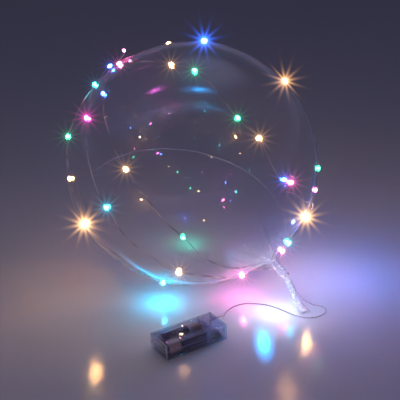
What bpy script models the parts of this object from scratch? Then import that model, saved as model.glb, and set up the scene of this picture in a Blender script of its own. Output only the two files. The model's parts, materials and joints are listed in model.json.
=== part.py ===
"""Clear bubble balloon with a gathered neck, wound with a string of lights, beside its battery box.

Blender 4.5, metres, +Z up. The origin is on the flat spot that the balloon rests on, and the neck points
to +X, -Y. Directions on the balloon are a longitude (0 towards -Y, growing towards +X) and a latitude,
both in degrees.
"""

import math

import bmesh
import bpy
import numpy as np
from mathutils import Matrix, Vector

GAP = 0.0003  # kept between pieces that touch

# Balloon film
BALLOON_RADIUS = 0.140
BALLOON_SQUASH = 0.965  # height over width of the resting balloon
FLAT_SPOT_RADIUS = 0.020
NECK_LONGITUDE = 54.0
NECK_LATITUDE = -43.0
GATHER_ANGLE = 18.0  # degrees from the neck's axis at which the pleats begin
NECK_RISE = 0.010  # how far the tied neck stands past the round of the balloon
NECK_RADIUS = 0.0042
PLEATS = 9
PLEAT_DEPTH = 0.10  # share of the gather's radius
FILM_SIDES = 36
FILM_RINGS = 22
GATHER_RINGS = 5

# Tied neck, as distance past its start and share of its radius: groove, bulge and pinch
TAIL_SIDES = 12
NECK_PROFILE = ((0.0030, 0.86), (0.0065, 0.90), (0.0100, 1.24), (0.0145, 0.86), (0.0180, 0.62))
# Twisted tail down to the floor: way from the pinch along X and Y, share of the pinch's height, then half
# width, half thickness and turn of the flattened section in degrees
TAIL_LIFT = 0.0005  # under the flattened end
TAIL = (
    (0.0041, -0.0068, 0.53, 0.0031, 0.0023, 40.0),
    (0.0076, -0.0158, 0.24, 0.0034, 0.0025, 100.0),
    (0.0106, -0.0248, 0.075, 0.0042, 0.0026, 170.0),
    (0.0136, -0.0328, 0.026, 0.0060, 0.0015, 180.0),
    (0.0166, -0.0408, 0.0, 0.0075, 0.0009, 180.0),
)

# String of lights
WIRE_RADIUS = 0.0005
WIRE_SAG = 0.00025  # how far a straight run of the faceted wire dips towards the film
WIRE_STEP = 0.0155
BEND_SPACING = 0.030  # the wire's points come closer than its step where a bend's radius is under this
CLOSEST_POINTS = 4.5  # most times closer
BULB_RADIUS = 0.0017
BULB_LENGTH = 0.0055
BULB_SIDES = 8
BULB_SWELL = 0.008  # length over which the wire rises to a bulb
SEAT_SPARE = 0.0006  # straight wire past each end of a bulb

# The wire's route over the film, chosen by hand: longitude, latitude, extra lift in metres and bulb colour.
FRONT_TO_TOP = (
    (59, -38, 0, "pink"), (62, -34, 0, "cyan"), (67, -28.5, 0, ""), (71.5, -22.5, 0, "warm"),
    (74.5, -18.5, 0.004, ""), (72.5, -15, 0.002, ""), (64, -10.5, 0, ""), (56.5, -5.5, 0, ""),
    (51, -0.5, 0, ""), (47, 2.4, 0, ""), (43.4, 4.0, 0, ""), (43.6, 6.3, 0, ""),
    (47.6, 6.6, 0, "pink"), (50.6, 7.7, 0, ""), (48.2, 9.7, 0, ""), (43.2, 9.3, 0, "blue"),
    (40, 14, 0, ""), (38.3, 19, 0, ""), (36, 31, 0, "warm"), (33, 36, 0, ""), (28, 42, 0, "green"),
    (25, 50, 0, ""), (21, 60, 0, ""), (9, 70, 0, "green"), (-7, 73, 0, ""), (-26, 74, 0, "warm"),
    (-58, 74, 0, ""), (-77, 70, 0, ""), (-94, 64, 0, ""), (-105, 57, 0, "pink"),
)
TOP_TO_NECK = (
    (-98, 52, 0, ""), (-86, 50, 0, ""), (-71, 47, 0, "blue"), (-59, 41, 0, ""), (-47, 34, 0, ""),
    (-40, 28, 0, ""), (-31, 20.5, 0, "warm"), (-25, 14, 0, ""), (-19, 8, 0, ""), (-14, 1, 0, ""),
    (-5, -8.5, 0, "green"), (0, -16, 0, ""), (4, -22, 0, ""), (11, -28, 0, ""), (20, -34, 0, ""),
    (33, -39, 0, ""),
)
NECK_TO_LEFT = (
    (43, -48, 0, ""), (34, -50.5, 0, "pink"), (20, -46, 0, ""), (9, -40, 0, ""), (-1, -36, 0, ""),
    (-9, -33, 0, "warm"), (-15, -30, 0, ""), (-19, -24, 0, ""), (-26, -18, 0, ""),
    (-32, -12, 0, ""), (-40, 1, 0, "cyan"), (-46, 7, 0, ""), (-50, 13, 0, ""), (-56, 20, 0, ""),
    (-62, 26, 0, ""), (-70, 34, 0, "magenta"), (-78, 38, 0, ""), (-89, 40, 0, ""),
    (-100, 42, 0, "cyan"), (-107, 45.5, 0.001, ""), (-110.5, 50.5, 0.003, "blue"),
)
LEFT_TO_RIGHT = (
    (-115, 54, 0.001, ""), (-125, 56, 0, ""), (-142, 52, 0, ""), (-157, 51, 0, ""),
    (-163, 60, 0, "warm"), (-179, 60, 0, ""), (160, 66, 0, "blue"), (142, 60, 0, ""),
    (134, 50, 0, ""), (123, 43, 0, ""), (114, 33, 0, "warm"), (104, 20, 0, ""), (95, 12, 0, ""),
    (88, 6, 0, ""), (83, -2, 0, "green"), (78.5, -11, 0, "pink"), (79, -19, 0, ""),
    (86, -28, 0, ""), (92.5, -36.5, 0, "blue"), (83, -39.5, 0, ""), (70, -39.5, 0, ""),
)
UNDER_TO_END = (
    (42, -54, 0, ""), (31, -58, 0, ""), (14, -60, 0, ""), (-6, -59, 0, ""), (-26, -53, 0, "cyan"),
    (-34, -40, 0, ""), (-44, -29, 0, ""), (-53, -23, 0, ""), (-62, -16.5, 0, "warm"),
    (-64, -9, 0, ""), (-67, -2, 0, ""), (-70, 4, 0, "warm"), (-81, 9, 0, ""), (-93, 15, 0, "green"),
    (-98, 26, 0, ""), (-107, 35, 0, ""), (-117, 42, 0, ""), (-126, 48, 0.003, ""),
    (-127, 54, 0.0065, ""), (-121, 57, 0.0080, "pink"),
)
WRAP_CLEARANCE = 0.0007  # under the wire's turns in the neck's groove
WRAP_STEP = 45.0
# Turns in the groove: distance past the neck's start, first and last angle from the top towards +X
START_WRAP = (0.0044, 105.0, 36.0)
LEFT_WRAP = (0.0036, -78.0, -114.0)
UNDER_WRAP = (0.0016, 70.0, 218.0)

# Cells, and the plates and springs at their ends
CELL_RADIUS = 0.0071
CELL_LENGTH = 0.0492
CELL_NUB_RADIUS = 0.0027
CELL_NUB_LENGTH = 0.0011
CELL_SIDES = 16
CELL_SIDE_SPACE = 0.0018  # left beside the two cells, in all
CELL_TOP_SPACE = 0.0012  # left over and under a cell, in all
PLATE_THICKNESS = 0.0005
PLATE_HEIGHT = 0.0090
PLATE_WIDTH = 0.0085
SPRING_LENGTH = 0.0050
SPRING_WIRE_RADIUS = 0.00035
SPRING_RADII = (0.0022, 0.0045)
SPRING_TURNS = 2

# Battery box
BOX_PLACE = (-0.0510, -0.1695, 0.0)  # its far left corner on the floor
BOX_TURN = 30.7
BOX_WALL = 0.0014
BOX_EDGE = 0.0007  # bevel
BOARD_LENGTH = 0.0100
BOARD_THICKNESS = 0.0012
BOARD_SIDE_SPACE = 0.0031
BOARD_END_SPACE = 0.0024
SWITCH_SIZE = (0.0055, 0.0100, 0.0050)
RESISTOR_RADIUS = 0.0011
RESISTOR_LENGTH = 0.0060

# Lead from the box to the neck
LEAD_RADIUS = 0.00055
LEAD_HOLE_CLEARANCE = 0.0004
LEAD_EXIT_INSET = 0.0070  # from the box's far side
LEAD_EXIT_HEIGHT = 0.0125
LEAD_INSIDE = 0.0030
LEAD_SAMPLES = 70
# Its route on the floor and up the tail, chosen by hand
LEAD_ROUTE = (
    (0.0235, -0.1325, 0.0120), (0.0268, -0.1255, 0.0080), (0.0285, -0.1170, 0.0032),
    (0.0300, -0.1085, 0.0011), (0.0340, -0.1010, 0.0009), (0.0410, -0.0935, 0.0009),
    (0.0520, -0.0890, 0.0009), (0.0640, -0.0895, 0.0009), (0.0750, -0.0930, 0.0009),
    (0.0860, -0.1000, 0.0009), (0.0960, -0.1090, 0.0009), (0.1070, -0.1190, 0.0009),
    (0.1190, -0.1245, 0.0009), (0.1310, -0.1225, 0.0009), (0.1390, -0.1150, 0.0009),
    (0.1400, -0.1060, 0.0009), (0.1345, -0.1005, 0.0010), (0.1260, -0.0980, 0.0020),
    (0.1175, -0.0935, 0.0055), (0.1107, -0.0871, 0.0104), (0.1067, -0.0772, 0.0162),
    (0.1015, -0.0701, 0.0236), (0.0979, -0.0632, 0.0276),
)

COLOURS = {
    "warm": (1.0, 0.72, 0.38, 1.0),
    "blue": (0.10, 0.28, 1.0, 1.0),
    "green": (0.12, 0.95, 0.45, 1.0),
    "pink": (1.0, 0.22, 0.55, 1.0),
    "magenta": (1.0, 0.10, 0.50, 1.0),
    "cyan": (0.12, 0.80, 0.95, 1.0),
}


# Values worked out from the sizes above
FLAT_DEPTH = BALLOON_SQUASH * (BALLOON_RADIUS - math.sqrt(BALLOON_RADIUS**2 - FLAT_SPOT_RADIUS**2))
CENTRE = np.array((0.0, 0.0, BALLOON_SQUASH * BALLOON_RADIUS - FLAT_DEPTH))
SQUASH = np.array((1.0, 1.0, BALLOON_SQUASH))
NECK_START = BALLOON_RADIUS + NECK_RISE
WIRE_LIFT = WIRE_RADIUS + GAP + WIRE_SAG
BULB_LIFT = BULB_RADIUS + GAP + WIRE_SAG
WRAP_RADIUS = NECK_RADIUS + WRAP_CLEARANCE + WIRE_RADIUS
INNER_WIDTH = 4 * CELL_RADIUS + CELL_SIDE_SPACE
BOX_WIDTH = INNER_WIDTH + 2 * BOX_WALL
BOX_HEIGHT = 2 * CELL_RADIUS + CELL_TOP_SPACE + 2 * BOX_WALL
MIDDLE = BOX_HEIGHT / 2
LID_LENGTH = CELL_LENGTH + SPRING_LENGTH + 2 * PLATE_THICKNESS + 5 * GAP + 2 * BOX_WALL
BOX_LENGTH = LID_LENGTH + GAP + BOARD_LENGTH + BOARD_END_SPACE + 2 * BOX_WALL


def direction(longitude, latitude):
    """Unit direction from the balloon's centre."""
    turn, rise = math.radians(longitude), math.radians(latitude)
    return np.array((math.sin(turn) * math.cos(rise), -math.cos(turn) * math.cos(rise), math.sin(rise)))


def across(forward):
    """Level side and upper side of a section that faces forward."""
    side = np.cross((0.0, 0.0, 1.0), forward)
    side /= np.linalg.norm(side)
    return side, np.cross(forward, side)


NECK_AXIS = direction(NECK_LONGITUDE, NECK_LATITUDE)
NECK_SIDE, NECK_UP = across(NECK_AXIS)


def gather_profile(samples):
    """Radius and height along the neck's axis of the gather, from the round film to the tied neck."""
    angle = math.radians(GATHER_ANGLE)
    start = BALLOON_RADIUS * np.array((math.sin(angle), math.cos(angle)))
    end = np.array((NECK_RADIUS, NECK_START))
    reach = np.linalg.norm(end - start)
    leaving = start + 0.62 * reach * np.array((-math.cos(angle), math.sin(angle)))
    arriving = end - (0.0, 0.22 * reach)
    t = np.linspace(0.0, 1.0, samples + 1)[:, None]
    early, late = 3 * (1 - t) ** 2 * t, 3 * (1 - t) * t**2
    return (1 - t) ** 3 * start + early * leaving + late * arriving + t**3 * end


def on_neck(height, radius, angle):
    """Point beside the neck's axis, at an angle in radians from its level side."""
    ring = math.cos(angle) * NECK_SIDE + math.sin(angle) * NECK_UP
    return CENTRE + SQUASH * (height * NECK_AXIS + radius * ring)


def film_distance(towards):
    """Distance from the centre to the film before the squash, for a unit direction."""
    profile = gather_profile(4 * GATHER_RINGS)
    angles = np.arctan2(profile[:, 0], profile[:, 1])
    lengths = np.linalg.norm(profile, axis=1)
    angle = math.acos(np.clip(towards @ NECK_AXIS, -1.0, 1.0))
    return float(np.interp(angle, angles[::-1], lengths[::-1]))


def over_film(towards, lift):
    return CENTRE + SQUASH * towards * (film_distance(towards) + lift)


def smooth_curve(points, samples):
    """Centripetal curve through the points, with this many samples in each stretch."""
    points = np.asarray(points, float)
    ends = (2 * points[0] - points[1], 2 * points[-1] - points[-2])
    track = np.vstack((ends[:1], points, ends[1:]))
    found = []
    for p0, p1, p2, p3 in zip(track, track[1:], track[2:], track[3:]):
        t1 = np.linalg.norm(p1 - p0) ** 0.5
        t2 = t1 + np.linalg.norm(p2 - p1) ** 0.5
        t3 = t2 + np.linalg.norm(p3 - p2) ** 0.5
        for t in np.linspace(t1, t2, samples, endpoint=False):
            a1 = (t1 - t) / t1 * p0 + t / t1 * p1
            a2 = (t2 - t) / (t2 - t1) * p1 + (t - t1) / (t2 - t1) * p2
            a3 = (t3 - t) / (t3 - t2) * p2 + (t - t2) / (t3 - t2) * p3
            b1 = (t2 - t) / t2 * a1 + t / t2 * a2
            b2 = (t3 - t) / (t3 - t1) * a2 + (t - t1) / (t3 - t1) * a3
            found.append((t2 - t) / (t2 - t1) * b1 + (t - t1) / (t2 - t1) * b2)
    found.append(points[-1])
    return np.array(found)


def along(points):
    """Running length at each point."""
    return np.concatenate(([0.0], np.cumsum(np.linalg.norm(np.diff(points, axis=0), axis=1))))


def bends(points):
    """How sharply the line bends at each point, as one over the radius, read over a few points each way."""
    reach = 4
    before, after = np.roll(points, reach, axis=0), np.roll(points, -reach, axis=0)
    before[:reach], after[-reach:] = points[0], points[-1]
    one, two = points - before, after - points
    lengths = np.maximum(np.linalg.norm(one, axis=1) * np.linalg.norm(two, axis=1), 1e-12)
    turns = np.arccos(np.clip((one * two).sum(axis=1) / lengths, -1.0, 1.0))
    turns[:reach], turns[-reach:] = turns[reach], turns[-reach - 1]
    return turns * 2 / np.maximum(np.linalg.norm(one, axis=1) + np.linalg.norm(two, axis=1), 1e-6)


def at_lengths(points, lengths):
    run = along(points)
    return np.stack([np.interp(lengths, run, points[:, k]) for k in range(3)], axis=1)


def material(name, colour, roughness, metallic=0.0, alpha=1.0, glow=0.0):
    """Plain surface of one finish."""
    made = bpy.data.materials.new(name)
    made.use_nodes = True
    shader = made.node_tree.nodes["Principled BSDF"]
    shader.inputs["Base Color"].default_value = colour
    shader.inputs["Roughness"].default_value = roughness
    shader.inputs["Metallic"].default_value = metallic
    shader.inputs["Alpha"].default_value = alpha
    shader.inputs["Emission Color"].default_value = colour
    shader.inputs["Emission Strength"].default_value = glow
    made.diffuse_color = (*colour[:3], alpha)
    return made


def add_object(name, data, surface, parent=None, smooth_angle=None):
    """Puts a mesh or curve in the scene as one named piece."""
    if smooth_angle is not None:
        data.shade_smooth()
        data.set_sharp_from_angle(angle=math.radians(smooth_angle))
    if surface is not None and not data.materials:
        data.materials.append(surface)
    piece = bpy.data.objects.new(name, data)
    piece.parent = parent
    bpy.context.scene.collection.objects.link(piece)
    return piece


def mesh_from(name, shape):
    """Turns a bmesh into a mesh with its faces pointing out."""
    bmesh.ops.recalc_face_normals(shape, faces=shape.faces)
    mesh = bpy.data.meshes.new(name)
    shape.to_mesh(mesh)
    shape.free()
    return mesh


def block(name, low, high, surface=None, parent=None, edge=0.0):
    """Rectangular piece between two corners, with bevelled edges if an edge is given."""
    shape = bmesh.new()
    bmesh.ops.create_cube(shape, size=1.0)
    low, high = Vector(low), Vector(high)
    for vertex in shape.verts:
        vertex.co = Vector(
            (low[k] if vertex.co[k] < 0 else high[k]) for k in range(3)
        )
    if edge:
        edges = shape.edges[:]
        bmesh.ops.bevel(shape, geom=edges, offset=edge, segments=1, affect="EDGES", clamp_overlap=True)
    return add_object(name, mesh_from(name, shape), surface, parent)


def turned(name, profile, sides):
    """Mesh turned about X from (x, radius) points; a radius of 0 closes an end."""
    shape = bmesh.new()
    rings = []
    for x, radius in profile:
        if radius == 0.0:
            rings.append([shape.verts.new((x, 0.0, 0.0))])
            continue
        angles = [2 * math.pi * k / sides for k in range(sides)]
        rings.append([shape.verts.new((x, radius * math.cos(a), radius * math.sin(a))) for a in angles])
    pairs = list(zip(rings, rings[1:]))
    if len(rings[0]) > 1:
        pairs.append((rings[-1], rings[0]))
    for one, two in pairs:
        for k in range(sides):
            after = (k + 1) % sides
            corners = [one[k % len(one)], one[after % len(one)], two[after % len(two)], two[k % len(two)]]
            shape.faces.new(list(dict.fromkeys(corners)))
    return mesh_from(name, shape)


def tube(name, points, radius, surface, sides_level, parent=None):
    """Round wire along the points, with closed ends."""
    curve = bpy.data.curves.new(name, "CURVE")
    curve.dimensions = "3D"
    curve.bevel_depth = radius
    curve.bevel_resolution = sides_level
    curve.use_fill_caps = True
    spline = curve.splines.new("POLY")
    spline.points.add(len(points) - 1)
    for place, point in zip(spline.points, points):
        place.co = (*point, 1.0)
    return add_object(name, curve, surface, parent)


def cut(piece, cutter):
    """Takes the cutter's shape out of the piece and hides the cutter."""
    modifier = piece.modifiers.new("cut", "BOOLEAN")
    modifier.operation = "DIFFERENCE"
    modifier.object = cutter
    cutter.hide_render = True
    cutter.display_type = "WIRE"


def film_rings():
    """Rings of points from the far side of the balloon, over the gather and to the end of the tail."""
    full_turn = 2 * math.pi * np.arange(FILM_SIDES) / FILM_SIDES
    rings = [[CENTRE - SQUASH * BALLOON_RADIUS * NECK_AXIS]]
    for theta in np.linspace(math.pi, math.radians(GATHER_ANGLE), FILM_RINGS + 1)[1:]:
        height, radius = BALLOON_RADIUS * math.cos(theta), BALLOON_RADIUS * math.sin(theta)
        rings.append([on_neck(height, radius, a) for a in full_turn])
    profile = gather_profile(GATHER_RINGS)[1:]
    for step, (radius, height) in enumerate(profile, 1):
        depth = PLEAT_DEPTH * step / GATHER_RINGS
        pleats = 1 - depth * (0.5 - 0.5 * np.cos(PLEATS * full_turn))
        rings.append([on_neck(height, radius * p, a) for p, a in zip(pleats, full_turn)])
    few = 2 * math.pi * np.arange(TAIL_SIDES) / TAIL_SIDES
    for past, share in NECK_PROFILE:
        rings.append([on_neck(NECK_START + past, share * NECK_RADIUS, a) for a in few])
    pinch = on_neck(NECK_START + NECK_PROFILE[-1][0], 0.0, 0.0)
    places = [pinch]
    for out, aside, share, _, thickness, _ in TAIL:
        height = TAIL_LIFT + thickness + share * pinch[2]
        places.append(np.array((pinch[0] + out, pinch[1] + aside, height)))
    for k, (_, _, _, width, thickness, turn) in enumerate(TAIL, 1):
        forward = places[min(k + 1, len(TAIL))] - places[k - 1]
        side, up = across(forward / np.linalg.norm(forward))
        off = few - math.radians(turn)
        radii = width * thickness / np.hypot(thickness * np.cos(off), width * np.sin(off))
        rings.append([places[k] + r * (math.cos(a) * side + math.sin(a) * up) for r, a in zip(radii, few)])
    return rings


def join_rings(shape, one, two):
    """Faces between two rings; the second may have a fraction of the first one's points."""
    ratio = max(1, len(one) // len(two)) if len(one) > 1 else 1
    count = max(len(one), len(two))
    for k in range(0, count, ratio):
        after = (k + ratio) % count
        near = two[k // ratio % len(two)] if len(one) > 1 else two[k]
        far = two[after // ratio % len(two)] if len(one) > 1 else two[after]
        if len(one) == 1:
            shape.faces.new((one[0], near, far))
            continue
        chain = [one[(k + j) % count] for j in range(ratio + 1)]
        turn_at = (ratio + 1) // 2
        for j in range(ratio):
            tip = near if j < turn_at else far
            shape.faces.new((chain[j], chain[j + 1], tip))
        shape.faces.new((chain[turn_at], far, near))


def make_balloon():
    """Film, gathered neck and twisted tail as one closed body, cut flat where it rests."""
    shape = bmesh.new()
    rings = [[shape.verts.new(point) for point in ring] for ring in film_rings()]
    for one, two in zip(rings, rings[1:]):
        join_rings(shape, one, two)
    shape.faces.new(rings[-1])
    bmesh.ops.recalc_face_normals(shape, faces=shape.faces)
    found = bmesh.ops.bisect_plane(
        shape,
        geom=shape.verts[:] + shape.edges[:] + shape.faces[:],
        plane_co=(0.0, 0.0, 0.0),
        plane_no=(0.0, 0.0, 1.0),
        clear_inner=True,
    )
    rim = [item for item in found["geom_cut"] if isinstance(item, bmesh.types.BMEdge)]
    bmesh.ops.edgeloop_fill(shape, edges=rim)
    film = material("clear film", (0.93, 0.95, 1.0, 1.0), 0.05, alpha=0.25)
    return add_object("balloon", mesh_from("balloon", shape), film, smooth_angle=35)


def wrap(turn):
    """Points of a turn of wire in the neck's groove."""
    past, first, last = turn
    count = max(1, round(abs(last - first) / WRAP_STEP))
    angles = np.radians(90.0 - np.linspace(first, last, count + 1))
    return [on_neck(NECK_START + past, WRAP_RADIUS, a) for a in angles]


def wire_track():
    """Dense points of the whole wire, their lengths stretched in its bends, and the bulbs' places."""
    places, holds, lifts, lamps = [], [], [], []

    def add(point, held, lift, colour=""):
        places.append(point)
        holds.append(held)
        lifts.append(lift)
        if colour:
            lamps.append((len(places) - 1, colour))

    stretches = (
        (START_WRAP, FRONT_TO_TOP + TOP_TO_NECK),
        (LEFT_WRAP, NECK_TO_LEFT + LEFT_TO_RIGHT),
        (UNDER_WRAP, UNDER_TO_END),
    )
    for turn, route in stretches:
        for point in wrap(turn):
            add(point, 1.0, 0.0)
        for longitude, latitude, lift, colour in route:
            add(over_film(direction(longitude, latitude), WIRE_LIFT + lift), 0.0, lift, colour)
    samples = 10
    dense = smooth_curve(places, samples)
    index = np.arange(len(places)) * samples
    steps = np.arange(len(dense))
    held = np.interp(steps, index, holds)
    lift = np.interp(steps, index, lifts)
    run = along(dense)
    stops = [(run[index[at]], colour) for at, colour in lamps]
    swell = sum(np.exp(-(((run - stop) / BULB_SWELL) ** 2)) for stop, _ in stops).clip(0, 1)
    for k, point in enumerate(dense):
        towards = (point - CENTRE) / SQUASH
        height = WIRE_LIFT + lift[k] + swell[k] * (BULB_LIFT - WIRE_LIFT)
        laid = over_film(towards / np.linalg.norm(towards), height)
        dense[k] = held[k] * point + (1 - held[k]) * laid
    run = along(dense)
    finer = np.clip(BEND_SPACING * bends(dense), 1.0, CLOSEST_POINTS)
    stretched = np.concatenate(([0.0], np.cumsum(np.diff(run) * (finer[1:] + finer[:-1]) / 2)))
    return dense, stretched, [(run[index[at]], colour) for at, colour in lamps]


def make_lights():
    """The wire, straight where it passes through a bulb, and the bulbs."""
    dense, stretched, stops = wire_track()
    run = along(dense)
    half = BULB_LENGTH / 2 + SEAT_SPARE
    last = stops[-1][0] + half
    reach = (last - run[-2]) / (run[-1] - run[-2])
    dense[-1] = dense[-2] + (dense[-1] - dense[-2]) * reach
    run = along(dense)
    marks = [0.0]
    for stop, _ in stops:
        marks += [stop - half, stop + half]
    lengths = []
    for k, (start, end) in enumerate(zip(marks, marks[1:])):
        is_seat = k % 2 == 1
        first, final = np.interp((start, end), run, stretched)
        count = 1 if is_seat else max(1, math.ceil((final - first) / WIRE_STEP))
        lengths += list(np.interp(np.linspace(first, final, count, endpoint=False), stretched, run))
    lengths.append(marks[-1])
    points = at_lengths(dense, lengths)
    tube("light_wire", points, WIRE_RADIUS, material("copper wire", (0.72, 0.45, 0.28, 1.0), 0.3, 1.0), 1)
    way = (points[1] - points[0]) / np.linalg.norm(points[1] - points[0])

    hole = WIRE_RADIUS + GAP
    half_long = BULB_LENGTH / 2
    belly, end = 0.40 * half_long, 0.62 * BULB_RADIUS
    profile = (
        (-half_long, end), (-belly, BULB_RADIUS), (belly, BULB_RADIUS), (half_long, end),
        (half_long, hole), (-half_long, hole),
    )
    meshes = {}
    for name, colour in COLOURS.items():
        meshes[name] = turned(f"bulb {name}", profile, BULB_SIDES)
        meshes[name].materials.append(material(f"{name} bulb", colour, 0.2, glow=4.0))
    for number, (stop, colour) in enumerate(stops, 1):
        ends = at_lengths(dense, [stop - half, stop + half])
        bulb = add_object(f"bulb_{number:02d}", meshes[colour], None, smooth_angle=50)
        bulb.location = Vector(ends.mean(axis=0))
        bulb.rotation_euler = Vector(ends[1] - ends[0]).to_track_quat("X", "Z").to_euler()
    return points[0], way


def make_case(frame, plastic):
    """Lower half of the battery box with its closed end compartment."""
    outer = (BOX_LENGTH, BOX_WIDTH, BOX_HEIGHT)
    case = block("battery_case", (0, 0, 0), outer, plastic, frame, BOX_EDGE)
    bay_end = LID_LENGTH - BOX_WALL
    inner = (BOX_WALL, BOX_WIDTH - BOX_WALL)
    over = BOX_HEIGHT
    lid_end = LID_LENGTH + GAP
    cutters = (
        block("lid space", (-over, -over, MIDDLE), (lid_end, BOX_WIDTH + over, 2 * over), parent=frame),
        block("battery bay", (BOX_WALL, inner[0], BOX_WALL), (bay_end, inner[1], over), parent=frame),
        block(
            "end compartment",
            (lid_end + BOX_WALL, inner[0], BOX_WALL),
            (BOX_LENGTH - BOX_WALL, inner[1], BOX_HEIGHT - BOX_WALL),
            parent=frame,
        ),
    )
    for cutter in cutters:
        cut(case, cutter)
    radius = LEAD_RADIUS + LEAD_HOLE_CLEARANCE
    start, end = BOX_LENGTH - 2 * BOX_WALL, BOX_LENGTH + BOX_WALL
    drill = turned("lead hole", ((start, 0.0), (start, radius), (end, radius), (end, 0.0)), 12)
    hole = add_object("lead hole", drill, None, frame)
    hole.location = (0.0, BOX_WIDTH - LEAD_EXIT_INSET, LEAD_EXIT_HEIGHT)
    cut(case, hole)


def make_lid(frame, plastic):
    """Upper half of the box, over the cells."""
    low = MIDDLE + GAP
    lid = block("battery_lid", (0, 0, low), (LID_LENGTH, BOX_WIDTH, BOX_HEIGHT), plastic, frame, BOX_EDGE)
    inside = block(
        "lid inside",
        (BOX_WALL, BOX_WALL, low - BOX_WALL),
        (LID_LENGTH - BOX_WALL, BOX_WIDTH - BOX_WALL, BOX_HEIGHT - BOX_WALL),
        parent=frame,
    )
    cut(lid, inside)


def make_cells(frame, metal):
    """Two cells side by side, head to tail, with the plates and springs at their ends."""
    bay_start, bay_end = BOX_WALL, LID_LENGTH - BOX_WALL
    rows = (BOX_WALL + INNER_WIDTH / 4, BOX_WALL + 3 * INNER_WIDTH / 4)
    wrap_finish = material("cell wrapper", (0.05, 0.04, 0.06, 1.0), 0.35)
    shoulder = 0.0006
    plate_far = bay_start + GAP + PLATE_THICKNESS
    plate_near = bay_end - GAP - PLATE_THICKNESS
    starts = (plate_far + GAP, plate_near - GAP)
    for number, (row, start, way) in enumerate(zip(rows, starts, (1, -1)), 1):
        nub = CELL_NUB_LENGTH
        profile = (
            (0.0, 0.0), (0.0, CELL_NUB_RADIUS), (nub, CELL_NUB_RADIUS), (nub, CELL_RADIUS - shoulder),
            (nub + shoulder, CELL_RADIUS), (CELL_LENGTH - shoulder, CELL_RADIUS),
            (CELL_LENGTH, CELL_RADIUS - shoulder), (CELL_LENGTH, 0.0),
        )
        mesh = turned(f"cell {number}", [(way * x, r) for x, r in profile], CELL_SIDES)
        cell = add_object(f"cell_{number}", mesh, wrap_finish, frame, smooth_angle=40)
        cell.location = (start, row, MIDDLE)

        spring_from = start + way * (CELL_LENGTH + GAP + SPRING_WIRE_RADIUS)
        wall = plate_near if way > 0 else plate_far
        spring_to = wall - way * (GAP + SPRING_WIRE_RADIUS)
        turns = np.linspace(0.0, 1.0, 10 * SPRING_TURNS + 1)
        radii = SPRING_RADII[0] + (SPRING_RADII[1] - SPRING_RADII[0]) * turns
        angles = 2 * math.pi * SPRING_TURNS * turns
        points = np.stack(
            (
                spring_from + (spring_to - spring_from) * turns,
                row + radii * np.cos(angles),
                MIDDLE + radii * np.sin(angles),
            ),
            axis=1,
        )
        tube(f"cell_spring_{number}", points, SPRING_WIRE_RADIUS, metal, 0, frame)

    low, high = MIDDLE - PLATE_HEIGHT / 2, MIDDLE + PLATE_HEIGHT / 2
    reach = PLATE_WIDTH / 2
    near = (plate_near, plate_near + PLATE_THICKNESS)
    far = (plate_far - PLATE_THICKNESS, plate_far)
    block("bridge_plate", (far[0], rows[0] - reach, low), (far[1], rows[1] + reach, high), metal, frame)
    for name, row in zip(("minus_plate", "plus_plate"), rows):
        block(name, (near[0], row - reach, low), (near[1], row + reach, high), metal, frame)


def make_end_parts(frame):
    """Small board, switch body and resistor seen in the clear end compartment."""
    start = LID_LENGTH + GAP + BOX_WALL + GAP
    low, side = BOX_WALL + GAP, BOX_WALL + BOARD_SIDE_SPACE
    top = low + BOARD_THICKNESS
    green = material("board", (0.05, 0.16, 0.10, 1.0), 0.5)
    dark = material("dark plastic", (0.03, 0.03, 0.04, 1.0), 0.4)
    far = (start + BOARD_LENGTH, BOX_WIDTH - side, top)
    block("circuit_board", (start, side, low), far, green, frame)
    base = top + GAP
    at = (start + (BOARD_LENGTH - SWITCH_SIZE[0]) / 2, side + GAP, base)
    block("switch_body", at, [a + size for a, size in zip(at, SWITCH_SIZE)], dark, frame)
    half = RESISTOR_LENGTH / 2
    waist = 0.85 * RESISTOR_RADIUS
    profile = (
        (-half, 0.0), (-half, RESISTOR_RADIUS), (-0.5 * half, waist), (0.5 * half, waist),
        (half, RESISTOR_RADIUS), (half, 0.0),
    )
    tan = material("resistor", (0.62, 0.50, 0.32, 1.0), 0.5)
    resistor = add_object("resistor", turned("resistor", profile, 10), tan, frame, smooth_angle=40)
    middle = (at[1] + SWITCH_SIZE[1] + BOX_WIDTH - side) / 2
    resistor.location = (start + BOARD_LENGTH / 2, middle, base + RESISTOR_RADIUS)


def make_battery_box():
    """The box lies on the floor in front of the balloon."""
    frame = bpy.data.objects.new("battery_box_frame", None)
    bpy.context.scene.collection.objects.link(frame)
    turn = Matrix.Rotation(math.radians(BOX_TURN), 4, "Z")
    frame.matrix_world = Matrix.Translation(BOX_PLACE) @ turn @ Matrix.Translation((0.0, -BOX_WIDTH, 0.0))
    plastic = material("clear plastic", (0.90, 0.92, 0.96, 1.0), 0.08, alpha=0.35)
    metal = material("nickel plate", (0.75, 0.76, 0.78, 1.0), 0.25, 1.0)
    make_case(frame, plastic)
    make_lid(frame, plastic)
    make_cells(frame, metal)
    make_end_parts(frame)
    return frame.matrix_world


def make_lead(box, wire_start, wire_way):
    """Thin lead from inside the end compartment, over the floor and up the tail to the light wire."""
    row, height = BOX_WIDTH - LEAD_EXIT_INSET, LEAD_EXIT_HEIGHT
    steps = (-BOX_WALL - LEAD_INSIDE, 0.0, 0.0025)
    start = [np.array(box @ Vector((BOX_LENGTH + step, row, height))) for step in steps]
    meeting = wire_start - wire_way * (GAP + LEAD_RADIUS)
    dense = smooth_curve(start + [np.array(point) for point in LEAD_ROUTE] + [meeting], 10)
    lengths = np.linspace(0.0, along(dense)[-1], LEAD_SAMPLES)
    lacquer = material("lacquered lead", (0.55, 0.52, 0.50, 1.0), 0.35)
    tube("lead", at_lengths(dense, lengths), LEAD_RADIUS, lacquer, 2)


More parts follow.
